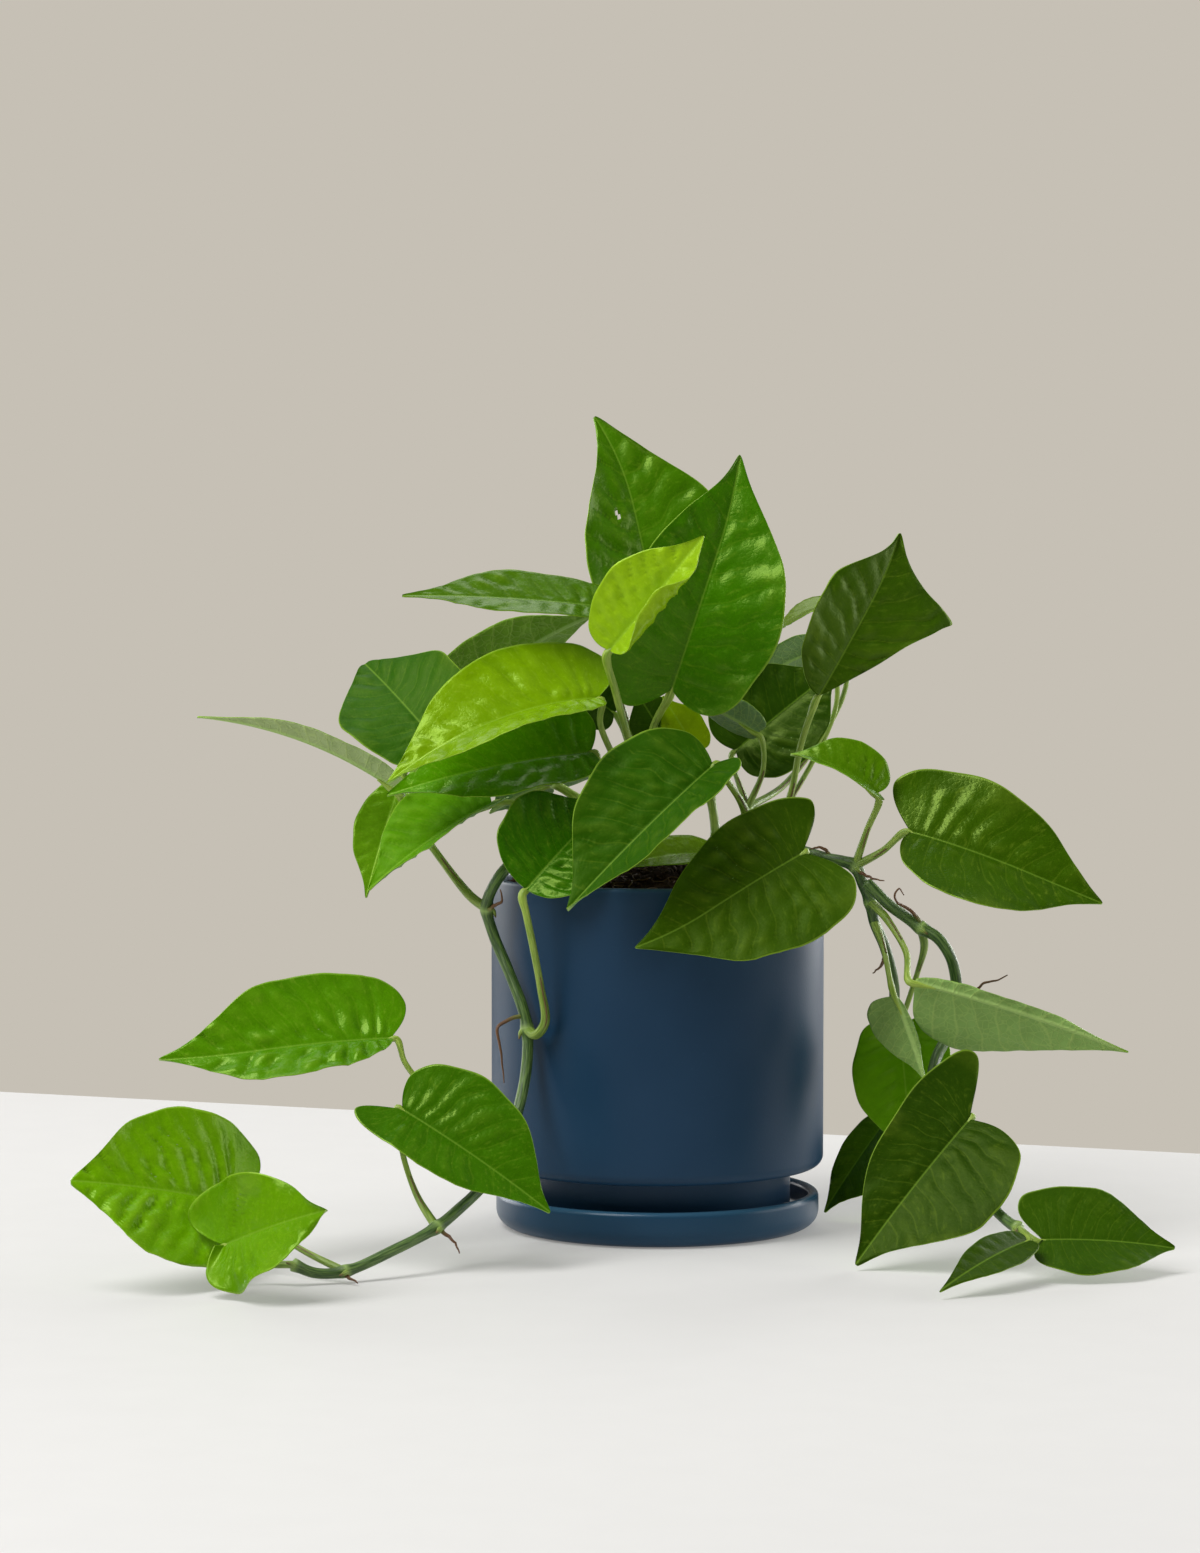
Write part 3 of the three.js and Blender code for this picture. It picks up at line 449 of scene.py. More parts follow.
def leaf_relief(leaf, blade, half, s, y, r, rng):
    """How far each point stands out of the flat blade, and its place between the lateral veins."""
    reach = np.abs(s)
    wobble = 0.22 * lattice_noise(rng, s / 9 + 20, y / 9 + 20)
    phase = vein_phase(reach, y, blade)
    pleat = np.abs(np.sin(math.pi * (phase + wobble * smoothstep(reach, 1, 6)))) ** 0.7 - 0.55
    size = max(half) / LARGE_HALF_WIDTH
    quilt = leaf.get("quilt", QUILT) * min(1.0, 0.35 + 0.65 * size)
    inner = smoothstep(reach, 0.6, 5) * (1 - 0.75 * smoothstep(r, 0.7, 1.0)) * smoothstep(y, -2, 6)
    patch = 0.65 + 0.45 * lattice_noise(rng, s / 16 + 9, y / 16 + 9)
    crease = lattice_noise(rng, phase * 1.7 + 5, reach / 5 + 5) * 0.4
    fine = lattice_noise(rng, s / 3.5 + 30, y / 3.5 + 30) * 0.06
    relief = quilt * inner * patch * (pleat + crease) + quilt * fine * smoothstep(reach, 0, 3)
    relief -= midrib(MIDRIB_GROOVE, 0.9, s, y, blade)
    ripple = np.sin(y / blade * 11 + rng.uniform(0, 6) + np.where(s < 0, 1.7, 0))
    ruffle = ripple + 0.8 * lattice_noise(rng, s / 14 + 40, y / 11 + 40)
    relief += leaf.get("wave", 0.8) * size * r**3 * ruffle
    return relief, phase + wobble


def blade_faces(rows, columns):
    """The upper side's faces: a fan at the base, a fan at the tip and quads between them."""
    width = 2 * columns + 1
    last = 2 + (rows - 2) * width
    faces = []
    for column in range(2 * columns):
        faces.append((0, 3 + column, 2 + column))
        faces.append((1, last + column, last + column + 1))
        for start in range(2 + column, last + column, width):
            faces.append((start, start + 1, start + 1 + width, start + width))
    return faces


def outside_hole(faces, s, y, hole):
    """The faces whose middles lie outside an oval hole."""
    lean = math.radians(hole["lean"])
    kept = []
    for face in faces:
        ds = s[list(face)].mean() - hole["at"][0]
        dy = y[list(face)].mean() - hole["at"][1]
        u = ds * math.cos(lean) + dy * math.sin(lean)
        v = dy * math.cos(lean) - ds * math.sin(lean)
        if (u / hole["size"][0]) ** 2 + (v / hole["size"][1]) ** 2 > 1:
            kept.append(face)
    return kept


def closed_shell(upper, under):
    """Adds the underside, whose points start at under, and bands that close every open edge."""
    lower = [tuple(p + under for p in reversed(face)) for face in upper]
    edges = dict.fromkeys((p, q) for face in upper for p, q in zip(face, face[1:] + face[:1]))
    rim = [(q, p, p + under, q + under) for p, q in edges if (q, p) not in edges]
    return upper + lower + rim, [0] * len(upper) + [1] * len(lower) + [0] * len(rim)


def leaf_mesh(name, leaf, materials):
    """One blade: a quilted upper side, an underside with a raised midrib, and a margin."""
    rng = rng_for(name)
    blade, at = leaf_surface(leaf)
    half = sides(leaf["width"])
    rows, columns, s, y, r = leaf_outline(leaf, blade, half, rng)
    relief, phase = leaf_relief(leaf, blade, half, s, y, r, rng)
    thickness = BLADE_THICKNESS * (1 - 0.45 * smoothstep(r, 0.9, 1.0))
    thickness += midrib(MIDRIB_RIDGE, 1.1, s, y, blade)
    points = np.concatenate([at(s, y, -relief), at(s, y, thickness - relief)])
    upper = blade_faces(rows, columns)
    if "hole" in leaf:
        upper = outside_hole(upper, s, y, leaf["hole"])
    faces, slots = closed_shell(upper, len(s))
    used = np.zeros(len(points), bool)
    used[list({p for face in faces for p in face})] = True
    renumber = np.cumsum(used) - 1
    faces = [tuple(int(renumber[p]) for p in face) for face in faces]
    obj = make_object("blade_" + name, points[used], faces, materials, slots)

    def both(values):
        return np.concatenate([values, values])[used]

    # The flat coordinates' third number takes each leaf to its own layer of the noise.
    layer = rng.uniform(0, 50, 2)[1]
    paint(obj, "leaf_relief", both(relief))
    paint(obj, "leaf_grain", both(np.stack([phase, np.sign(s) * r, y / blade], -1)))
    paint(obj, "leaf_plan", both(np.stack([s, y, np.full_like(s, layer)], -1)))
    for key, shade in (("leaf_color", leaf["green"]), ("under_color", leaf.get("under", PALE_UNDERSIDE))):
        paint(obj, key, np.tile(color(*shade)[:3], (int(used.sum()), 1)))
    return obj


# A leaf runs from base to tip with its upper side towards face. Pairs hold the left and right halves' values.
# width: half width. fold, curl: degrees a half rises by at the midrib, and turns by on the way to the margin.
# lobe: how far the base reaches back. belly: lower for a widest place nearer the tip. point: tip's taper.
# droop, twist: degrees of arch, and of turn about the midrib. hook: swing of the tip. wave: margin's ruffle.
# quilt: height of the swellings between veins. green, under: sRGB of the two sides; a few greens are darkened
# as painted shade, noted at their leaves. dull: less glossy.
# alike: the underside looks like the upper side.
LEAVES = {
    "top_back": dict(
        base=(2, 10, 261), tip=(-22, 38, 367), face=(0.3, -0.9, 0.1), width=(32, 43), fold=12, curl=12,
        droop=22, hook=-7, belly=(0.95, 0.95), wave=1.2, quilt=1.6, green=(64, 114, 0),
        hole=dict(at=(-10, 62), size=(1.0, 2.4), lean=10),
    ),
    # top_front's green is darkened as painted shade for its shaded left half.
    "top_front": dict(
        base=(6, -26, 243), tip=(40, -18, 346), face=(0.05, -1, 0.1), width=(36, 39), fold=16, curl=10,
        droop=14, hook=-4, lobe=(0.4, 0.3), belly=(0.95, 0.85), quilt=1.4, green=(56, 112, 0),
    ),
    "young_folded": dict(
        base=(-22, -52, 261), tip=(19, -62, 311), face=(-0.1, -0.95, 0.3), width=(22, 25), fold=(4, 6),
        curl=(12, 145), lobe=(0.22, 0.0), belly=0.78, green=(146, 184, 20), under=(170, 205, 70),
        alike=True,
    ),
    "left_upper": dict(
        base=(-24, -20, 280), tip=(-113, -42, 285), face=(0, -0.5, 0.87), width=(15, 22), fold=4, curl=4,
        droop=8, green=(68, 108, 0),
    ),
    "left_turned": dict(
        base=(-98, 40, 231), tip=(-26, 24, 277), face=(-0.2, 0.6, 0.75), width=23, fold=8, curl=10,
        droop=30, lobe=0.3, green=(75, 115, 10), under=(112, 152, 44),
    ),
    "bright": dict(
        base=(-27, -42, 240), tip=(-118, -78, 204), face=(-0.2, -0.6, 0.75), width=(26, 33), fold=16,
        curl=14, droop=44, lobe=(0.1, 0.5), quilt=2.1, green=(118, 158, 0), under=(140, 190, 60),
    ),
    "under_bright": dict(
        base=(-30, -32, 216), tip=(-119, -60, 198), face=(-0.05, -0.72, 0.66), width=(20, 32),
        fold=(2, 14), curl=8, droop=20, lobe=(0.2, 0.3), quilt=1.5, green=(76, 134, 0),
    ),
    # left_round's green is darkened as painted shade, against the highlight it catches.
    "left_round": dict(
        base=(-98, -4, 217), tip=(-134, 37, 253), face=(0, -0.9, 0.45), width=(31, 31), fold=6, curl=8,
        droop=20, belly=0.85, point=0.6, quilt=1.5, green=(40, 88, 0), dull=True,
    ),
    "left_long": dict(
        base=(-116, -36, 200), tip=(-203, -46, 232), face=(0, 0.05, 1), width=(10, 13), fold=(34, 10),
        curl=8, droop=30, green=(72, 123, 0), under=(160, 178, 122),
    ),
    "left_hang": dict(
        base=(-115, -14, 202), tip=(-130, -34, 151), face=(-0.2, -0.9, 0.2), width=(13, 14), fold=(40, 10),
        curl=10, droop=10, lobe=0.1, belly=0.75, green=(100, 150, 12),
    ),
    "left_lower": dict(
        base=(-74, -32.6, 193), tip=(-127, -62.6, 157), face=(-0.2, -0.75, 0.6), width=(18, 25),
        fold=(45, 8), curl=6, droop=24, green=(85, 142, 0), dull=True,
    ),
    "shade_left_1": dict(
        base=(-51, 26, 198), tip=(-77, 30, 185), face=(0, 0.6, 0.8), width=13, fold=10, droop=20,
        green=(90, 125, 10), under=(100, 142, 80),
    ),
    "shade_left_2": dict(
        base=(-34, 40, 204), tip=(-58, 52, 194), face=(0, 0.6, 0.8), width=12, fold=10, droop=20,
        green=(90, 125, 10), under=(100, 142, 80),
    ),
    "front_left_low": dict(
        base=(-58, -74, 158), tip=(-21, -42, 195), face=(-0.1, -0.95, 0.3), width=(30, 24), fold=8,
        curl=14, droop=20, lobe=0.1, green=(48, 104, 0),
    ),
    "front_centre": dict(
        base=(23, -62, 211), tip=(-40, -100, 151), face=(-0.2, -0.85, 0.45), width=(29, 36), fold=(40, 8),
        curl=8, droop=12, quilt=1.4, green=(40, 84, 0), dull=True,
    ),
    "front_right": dict(
        base=(62, -66, 173), tip=(-8, -98, 131), face=(0.1, -0.85, 0.5), width=(39, 28), fold=8, curl=4,
        droop=16, hook=5, lobe=(0.45, 0.6), belly=(0.85, 1), quilt=1.7, green=(50, 80, 0), dull=True,
    ),
    "right_top": dict(
        base=(72, -18, 240), tip=(111, -2, 311), face=(0.3, -0.9, 0.1), width=(25, 37), fold=(14, 8),
        curl=-4, droop=14, hook=-3, lobe=(0.1, -0.45), belly=(0.75, 0.6), wave=1.2, quilt=1.5,
        green=(49, 81, 0),
    ),
    "right_mid": dict(
        base=(36, 22, 214), tip=(83, 36, 251), face=(0, -0.9, 0.4), width=26, fold=8, droop=16,
        green=(36, 68, 0),
    ),
    "mid_grey": dict(
        base=(45, 8, 223), tip=(16, 4, 237), face=(0, 0.5, 0.85), width=13, fold=8, droop=20,
        green=(78, 106, 10), under=(112, 142, 96),
    ),
    "small_bright": dict(
        base=(17, -20, 216), tip=(2, -15, 240), face=(0, -0.9, 0.3), width=10, fold=8, green=(132, 161, 0),
    ),
    # dark_centre's very dark green is painted shade for a leaf deep in the tuft.
    "dark_centre": dict(
        base=(-20, 4, 232), tip=(-56, 6, 255), face=(0, -0.8, 0.6), width=17, fold=8, droop=16,
        green=(31, 63, 0),
    ),
    # dark_right's dark green is painted shade for a leaf tucked behind the others.
    "dark_right": dict(
        base=(4, -8, 219), tip=(-10, -8, 242), face=(0.1, -1, 0.2), width=13, fold=8, droop=10,
        green=(36, 69, 0),
    ),
    "low_centre": dict(
        base=(24, -30, 171), tip=(-26, -52, 164), face=(0, -0.4, 0.9), width=14, fold=10, droop=20,
        green=(101, 134, 10),
    ),
    "right_small": dict(
        base=(96, -44, 198), tip=(58, -40, 215), face=(-0.2, -0.5, 0.8), width=17, fold=(40, 14),
        curl=(-12, 10), droop=50, green=(78, 123, 0), under=(120, 150, 45),
    ),
    "right_big": dict(
        base=(111, -44, 181), tip=(193, -60, 149), face=(0.05, -0.8, 0.6), width=(33, 34), fold=14, curl=6,
        droop=22, hook=-2, lobe=(0.5, 0.15), belly=(0.95, 0.85), wave=1.4, quilt=1.1, green=(52, 86, 0),
    ),
    "back_right_a": dict(
        base=(82, 62, 281), tip=(53, 68, 264), face=(-0.3, -0.25, 0.9), width=12, fold=8, droop=40,
        green=(103, 127, 37),
    ),
    "back_right_b": dict(
        base=(77, 56, 260), tip=(47, 60, 244), face=(0, 0.5, 0.8), width=14, fold=8, droop=30,
        green=(90, 115, 35), under=(122, 152, 100),
    ),
    "trail_right_long": dict(
        base=(111, -75, 118), tip=(203, -80, 88), face=(0.1, 0.75, 0.66), width=(30, 5), fold=(-10, 12),
        curl=8, droop=10, lobe=(-0.05, 0.05), belly=(1.7, 1.0), green=(67, 115, 0), under=(132, 166, 90),
    ),
    "trail_right_short": dict(
        base=(103.5, -59, 110), tip=(116, -70, 74), face=(0.3, 0.85, 0.3), width=(19, 3), fold=12,
        droop=10, lobe=(0.12, 0.0), belly=(1.7, 0.9), green=(67, 115, 0), under=(124, 156, 84),
    ),
    "trail_right_back": dict(
        base=(109, -14, 91), tip=(114, -30, 31), face=(-0.3, -0.9, 0.2), width=23, fold=10, droop=16,
        green=(92, 148, 0),
    ),
    "trail_right_low": dict(
        base=(104, 18, 44), tip=(76, 8, 4), face=(-0.5, -0.8, 0.3), width=(22, 10), fold=12, droop=10,
        green=(56, 90, 0), under=(110, 145, 80),
    ),
    # trail_right_front's dark green is painted shade for the shaded right-hand cluster.
    "trail_right_front": dict(
        base=(133, -92, 60), tip=(82, -127, 3), face=(-0.1, -0.8, 0.6), width=(40, 27), fold=10, curl=8,
        droop=16, lobe=(0.26, 0.8), belly=(0.75, 1.0), quilt=1.3, green=(36, 64, 0), dull=True,
    ),
    "ground_right_big": dict(
        base=(160, -141, 16), tip=(216, -134, 11), face=(0, -0.62, 0.78), width=(27, 23), fold=8, curl=4,
        droop=16, lobe=(0.55, 0.4), quilt=1.1, green=(48, 82, 0), dull=True,
    ),
    "ground_right_small": dict(
        base=(152, -150, 17), tip=(112, -196, 4), face=(0.1, -0.6, 0.8), width=(11, 9), fold=12, droop=20,
        lobe=0.2, green=(44, 72, 0), dull=True,
    ),
    "trail_left_1": dict(
        base=(-116, -88, 95), tip=(-213, -112, 85), face=(0, -0.75, 0.66), width=(20, 34), fold=12, curl=6,
        droop=14, twist=22, hook=4, lobe=(0.1, 0.35), belly=(0.75, 1.0), quilt=2.5, green=(78, 134, 0),
    ),
    "trail_left_2": dict(
        base=(-110, -112, 67), tip=(-47, -126, 25), face=(0.1, -0.8, 0.6), width=(30, 22), fold=14, curl=6,
        droop=16, lobe=(0.4, 0.6), belly=(0.75, 0.9), quilt=1.5, green=(56, 106, 0),
    ),
    "trail_left_3": dict(
        base=(-178, -140, 31), tip=(-243, -176, 46), face=(-0.3, -0.75, 0.5), width=(40, 38), fold=8,
        curl=6, droop=16, lobe=(0.25, 0.6), belly=(0.68, 0.75), point=0.9, quilt=2.2, green=(104, 158, 0),
    ),
    "trail_left_4": dict(
        base=(-180, -179, 20), tip=(-136, -209, 39), face=(-0.1, -0.85, 0.5), width=(26, 26), fold=10,
        curl=8, droop=16, lobe=(0.85, 0.5), belly=(0.85, 0.6), wave=3.4, green=(98, 150, 0),
    ),
}

# A shoot is a stem along its path, with nodes at some of the path's points. A stalk is a leaf, the point of
# the path that it leaves, the points it runs by and, where it isn't PETIOLE_RADIUS, its radius.
SHOOTS = {
    "vine_left": dict(
        path=[
            [-30, -14, 150], [-31, -14, 170], [-42, -22, 173], [-55, -33, 170], [-66, -44, 166],
            [-73, -50, 157], [-76, -44, 147], [-73, -42, 135], [-66, -48, 119], [-60, -54, 104],
            [-58, -56, 95], [-58, -60, 81], [-60, -66, 68], [-64, -77, 54], [-69, -90, 42],
            [-76, -104, 33], [-86, -118, 25], [-95, -129, 19], [-112, -144, 12], [-132, -156, 5],
            [-144, -160, 5], [-153, -163, 9],
        ],
        nodes=[6, 10, 13, 17, 19, 21],
        stalks=[
            ("left_long", 6, [[-83, -41, 152], [-99, -29.6, 171], [-110, -31, 187]], 1.8),
            (
                "front_left_low", 10,
                [[-54, -62, 93], [-50, -65, 99], [-52, -67, 115], [-55, -71, 132], [-58, -74, 147]], 1.7,
            ),
            ("trail_left_1", 13, [[-78, -86, 55], [-98, -90, 70], [-110, -89, 84]]),
            ("trail_left_2", 17, [[-104, -116, 31], [-110, -112, 48]]),
            ("trail_left_3", 19, [[-150, -146, 12], [-166, -134, 20]]),
            ("trail_left_4", 21, [[-168, -160, 9]]),
        ],
        rootlets=[
            [
                [-60, -56, 101], [-67, -58, 99], [-71, -60, 96], [-70, -62, 89], [-69, -62, 82],
                [-68, -64, 72],
            ],
            [[-75, -47, 147], [-72, -50, 149], [-69, -52, 151], [-70, -52, 156]],
            [[-93, -129, 18], [-88, -132, 14], [-85, -134, 9]],
            [[-132, -157, 4], [-129, -161, 2.5], [-126, -163, 1.4]],
        ],
    ),
    "vine_right_inner": dict(
        path=[
            [40, -8, 150], [41, -8, 170], [53, -15, 173], [64, -23, 171], [76, -30, 168], [82, -33, 167],
            [87, -34, 165], [91, -33, 156], [94, -31, 149], [96, -29, 140], [101, -27, 128],
            [105, -24, 113], [106, -14, 100], [106, 2, 84], [107, 11, 66], [106, 16, 54],
        ],
        nodes=[6, 8, 13],
        stalks=[
            ("right_big", 6, [[99, -38, 172]], 1.6),
            ("right_small", 6, [[92, -38, 181]], 1.5),
            ("trail_right_long", 8, [[100, -43, 143], [108, -58, 129]], 1.5),
            ("trail_right_short", 9, [[99, -44, 130]]),
            ("trail_right_low", 15, []),
        ],
        rootlets=[
            [[76, -30, 170], [72, -31, 173], [67, -30, 172.5]],
            [[87, -35, 164], [92, -40, 161], [99, -44, 159]],
            [[101, -27, 124], [98, -30, 119], [95, -32, 117]],
        ],
    ),
    "vine_right_outer": dict(
        path=[
            [92, -40, 158], [96, -41, 154], [101, -41, 149], [109, -39, 143], [116, -40, 138],
            [123, -43, 134], [128, -44, 127], [131, -41, 118], [132, -38, 106], [129, -41, 93],
            [122, -50, 81], [119, -65, 69], [122, -82, 56], [130, -102, 40], [140, -120, 27],
            [147, -131, 21], [150, -136, 20],
        ],
        nodes=[4, 12, 16],
        grafted=True,
        stalks=[
            ("trail_right_back", 4, [[118, -32, 129], [116, -22, 117], [112, -15, 102]]),
            ("trail_right_front", 12, [[130, -84, 60]]),
            ("ground_right_big", 16, []),
            ("ground_right_small", 16, []),
        ],
        rootlets=[
            [
                [116, -41, 140], [111, -43, 146], [105, -45, 150], [104, -46, 154], [106, -46, 156],
                [108, -46, 153],
            ],
            [[132, -39, 105], [139, -44, 110], [145, -48, 115], [150, -50, 116], [153, -51, 118]],
        ],
    ),
    "shoot_middle": dict(
        path=[[-2, -10, 150], [-2, -11, 176], [2, -18, 196]],
        nodes=[1, 2],
        stalks=[
            ("top_front", 2, [[-3, -16, 222]], 1.8),
            ("young_folded", 1, [[-8, -22, 194], [-13, -34, 219], [-19, -44, 242]], 1.8),
            ("bright", 1, [[-13, -26, 194], [-20, -34, 213], [-26, -40, 229]], 1.5),
        ],
    ),
    "shoot_back_centre": dict(
        path=[[-4, 8, 150], [-5, 8, 178], [-8, 8, 200], [-11, 7, 218]],
        nodes=[1, 2],
        stalks=[
            ("left_upper", 3, [[-18, 3, 242], [-22, -12, 265]]),
            ("top_back", 3, [[-1, 9, 242]], 1.6),
            ("dark_centre", 2, []),
        ],
    ),
    "shoot_front": dict(
        path=[[26, -16, 150], [26, -16, 176], [23, -14, 196], [18, -18, 208]],
        nodes=[1, 2],
        stalks=[
            ("small_bright", 3, []),
            ("dark_right", 2, []),
        ],
    ),
    "shoot_front_right": dict(
        path=[[38, -25, 150], [38, -26, 172], [40, -29, 178]],
        nodes=[1],
        stalks=[
            ("front_centre", 2, [[38, -36, 190], [29, -52, 205]], 1.6),
            ("front_right", 1, [[52, -48, 172]], 1.6),
            ("low_centre", 1, []),
        ],
    ),
    "shoot_back_right": dict(
        path=[[42, 10, 150], [42, 10, 172], [41, 12, 188]],
        nodes=[1, 2],
        stalks=[
            ("right_top", 1, [[52, 4, 180], [59, 0, 192], [64, -8, 217], [68, -15, 231]], 1.6),
            ("right_mid", 2, []),
            ("mid_grey", 2, [[48, 10, 206]]),
            ("back_right_a", 2, [[62, 44, 200], [88, 62, 240], [88, 63, 272]]),
            ("back_right_b", 1, [[62, 46, 190], [84, 58, 235]]),
        ],
    ),
    "shoot_left": dict(
        path=[[-24, -6, 150], [-25, -6, 174], [-34, -12, 184]],
        nodes=[1, 2],
        stalks=[
            ("left_lower", 2, [[-54, -23, 190], [-65, -29, 193]]),
            ("under_bright", 1, [[-27, -20, 198]]),
        ],
    ),
    "shoot_back_left": dict(
        path=[[-22, 12, 150], [-24, 11, 176], [-36, 7, 192], [-47, 4, 200]],
        nodes=[1, 2, 3],
        stalks=[
            ("left_round", 3, [[-66, 2, 208], [-86, -3, 212]]),
            ("left_hang", 3, [[-75, -4, 201], [-100, -12, 204], [-112, -14, 208]]),
            ("left_turned", 3, [[-66, 22, 210], [-90, 40, 223]]),
            ("shade_left_1", 2, [[-44, 18, 198]]),
            ("shade_left_2", 1, [[-28, 28, 196]]),
        ],
    ),
}


# ---------- stems ----------


def spline(points, step=1.3):
    """Centripetal Catmull-Rom points through the given ones, about a step apart."""
    p = np.asarray(points, float)
    p = np.vstack([2 * p[0] - p[1], p, 2 * p[-1] - p[-2]])
    out = []
    for a, b, c, d in zip(p, p[1:], p[2:], p[3:]):
        t0, t1, t2 = (max(np.linalg.norm(q - r), 1e-6) ** 0.5 for q, r in ((b, a), (c, b), (d, c)))
        start = ((b - a) / t0 - (c - a) / (t0 + t1) + (c - b) / t1) * t1
        end = ((c - b) / t1 - (d - b) / (t1 + t2) + (d - c) / t2) * t1
        u = np.linspace(0, 1, max(2, math.ceil(np.linalg.norm(c - b) / step)), endpoint=False)[:, None]
        out.append(
            (2 * u**3 - 3 * u**2 + 1) * b + (u**3 - 2 * u**2 + u) * start
            + (3 * u**2 - 2 * u**3) * c + (u**3 - u**2) * end
        )
    return np.vstack(out + [p[-2:-1]])


def run_length(path):
    """The distance along a path to each of its points."""
    return np.concatenate([[0], np.cumsum(np.linalg.norm(np.diff(path, axis=0), axis=1))])


class Growth:
    """Gathers tubes into one mesh, with the numbers that its material reads at each vertex."""

    def __init__(self):
        self.points, self.faces, self.count = [], [], 0
        self.bark, self.tone, self.ring, self.dry = [], [], [], []

    def tube(self, path, radius, sides, tone, ring=0.0, dry=0.0, flat=1.0, ribs=0.0, offset=0.0):
        """radius, tone, ring, dry and flat are numbers, or one number for each point of the path."""
        n = len(path)
        given = (radius, tone, ring, dry, flat)
        radius, tone, ring, dry, flat = (np.broadcast_to(v, n).astype(float) for v in given)
        ahead = np.gradient(path, axis=0)
        ahead /= np.linalg.norm(ahead, axis=1)[:, None]
        up = np.array([0, 0, 1.0]) if abs(ahead[0][2]) < 0.9 else np.array([1.0, 0, 0])
        angles = np.arange(sides) * 2 * math.pi / sides
        rings = []
        for i in range(n):
            up = up - ahead[i] * up.dot(ahead[i])
            up /= np.linalg.norm(up)
            across = np.cross(ahead[i], up)
            r = radius[i] * (1 + ribs * np.cos(angles * 5))
            out = (r * np.cos(angles))[:, None] * across * flat[i]
            rings.append(path[i] + out + (r * np.sin(angles))[:, None] * up)
        ends = [path[0] - ahead[0] * radius[0] * 0.5, path[-1] + ahead[-1] * radius[-1] * 0.5]
        first = self.count
        self.points += [*np.vstack(rings), *ends]
        foot, head = [first + n * sides] * sides, [first + n * sides + 1] * sides
        around = [range(start, start + sides) for start in range(first, foot[0], sides)]
        self.faces += join_rows([foot, *around, head])
        length = run_length(path) + offset
        turn = [np.tile(np.cos(angles), n), np.tile(np.sin(angles), n)]
        self.bark += [*np.stack([*turn, np.repeat(length, sides)], -1), [0, 0, offset], [0, 0, length[-1]]]
        for store, values in ((self.tone, tone), (self.ring, ring), (self.dry, dry)):
            store += [*np.repeat(values, sides), values[0], values[-1]]
        self.count += n * sides + 2

    def mesh(self, name, material):
        obj = make_object(name, self.points, self.faces, [material])
        paint(obj, "stem_bark", self.bark)
        for key, values in (("stem_tone", self.tone), ("stem_ring", self.ring), ("stem_dry", self.dry)):
            paint(obj, key, values)
        return obj


def stem_material():
    """Dark green vines, paler leafstalks, pale rings at the nodes and brown dry edges, finely streaked."""
    n = Nodes("stem_green")
    bark = n.vector("stem_bark")
    tone, ring, dry = (n.value(name) for name in ("stem_tone", "stem_ring", "stem_dry"))
    stretched = n.add("Mapping", {"Vector": bark, "Scale": (1.6, 1.6, 0.05)}).outputs[0]
    streak = n.noise(stretched, 2.2, 3.0, 0.6)
    speck = n.noise(n.add("Mapping", {"Vector": bark, "Scale": (1, 1, 0.6)}).outputs[0], 3.5, 3.0, 0.7)
    vine = n.mix(n.ramp(streak, 0.35, 0.7), color(42, 72, 22), color(96, 124, 58))
    stalk = n.mix(n.ramp(streak, 0.3, 0.7), color(112, 146, 26), color(168, 190, 80))
    skin = n.mix(tone, vine, stalk)
    skin = n.mix(n.math("MULTIPLY", ring, 0.8), skin, color(150, 178, 96))
    skin = n.mix(n.ramp(speck, 0.62, 0.8, 0.0, 0.3), skin, color(48, 60, 30))
    skin = n.mix(dry, skin, n.mix(streak, color(58, 34, 20), color(128, 88, 52)))
    n.set(Base_Color=skin, Roughness=n.ramp(streak, 0.3, 0.8, 0.34, 0.5), Specular_IOR_Level=0.45)
    n.bump(n.math("ADD", streak, n.math("MULTIPLY", speck, 0.6)), 0.00035, 0.7)
    return n.material


def near(path, centres, reach):
    """For each point of a path, how near it is to the nearest of some centres, from 0 to 1."""
    gap = np.min([np.linalg.norm(path - np.asarray(c, float), axis=1) for c in centres], axis=0)
    return np.exp(-((gap / reach) ** 2))


def grow_stem(growth, shoot, points, vine, rng):
    """The stem itself, swollen and ringed at its nodes."""
    path = spline(points)
    nodes = [points[i] for i in shoot["nodes"]]
    along = np.linspace(0, 1, len(path))
    radius = (VINE_RADIUS if vine else STEM_RADIUS) * (1.04 - 0.14 * along)
    radius *= 1 + 0.3 * near(path, nodes, 3.0)
    radius *= 1 + 0.03 * lattice_noise(rng, along * len(path) / 7, along * 0 + 3)
    tone = 0.0 if vine else np.clip(0.35 + 0.5 * along, 0, 1)
    growth.tube(path, radius, 16, tone, near(path, nodes, 1.3), ribs=0.015)


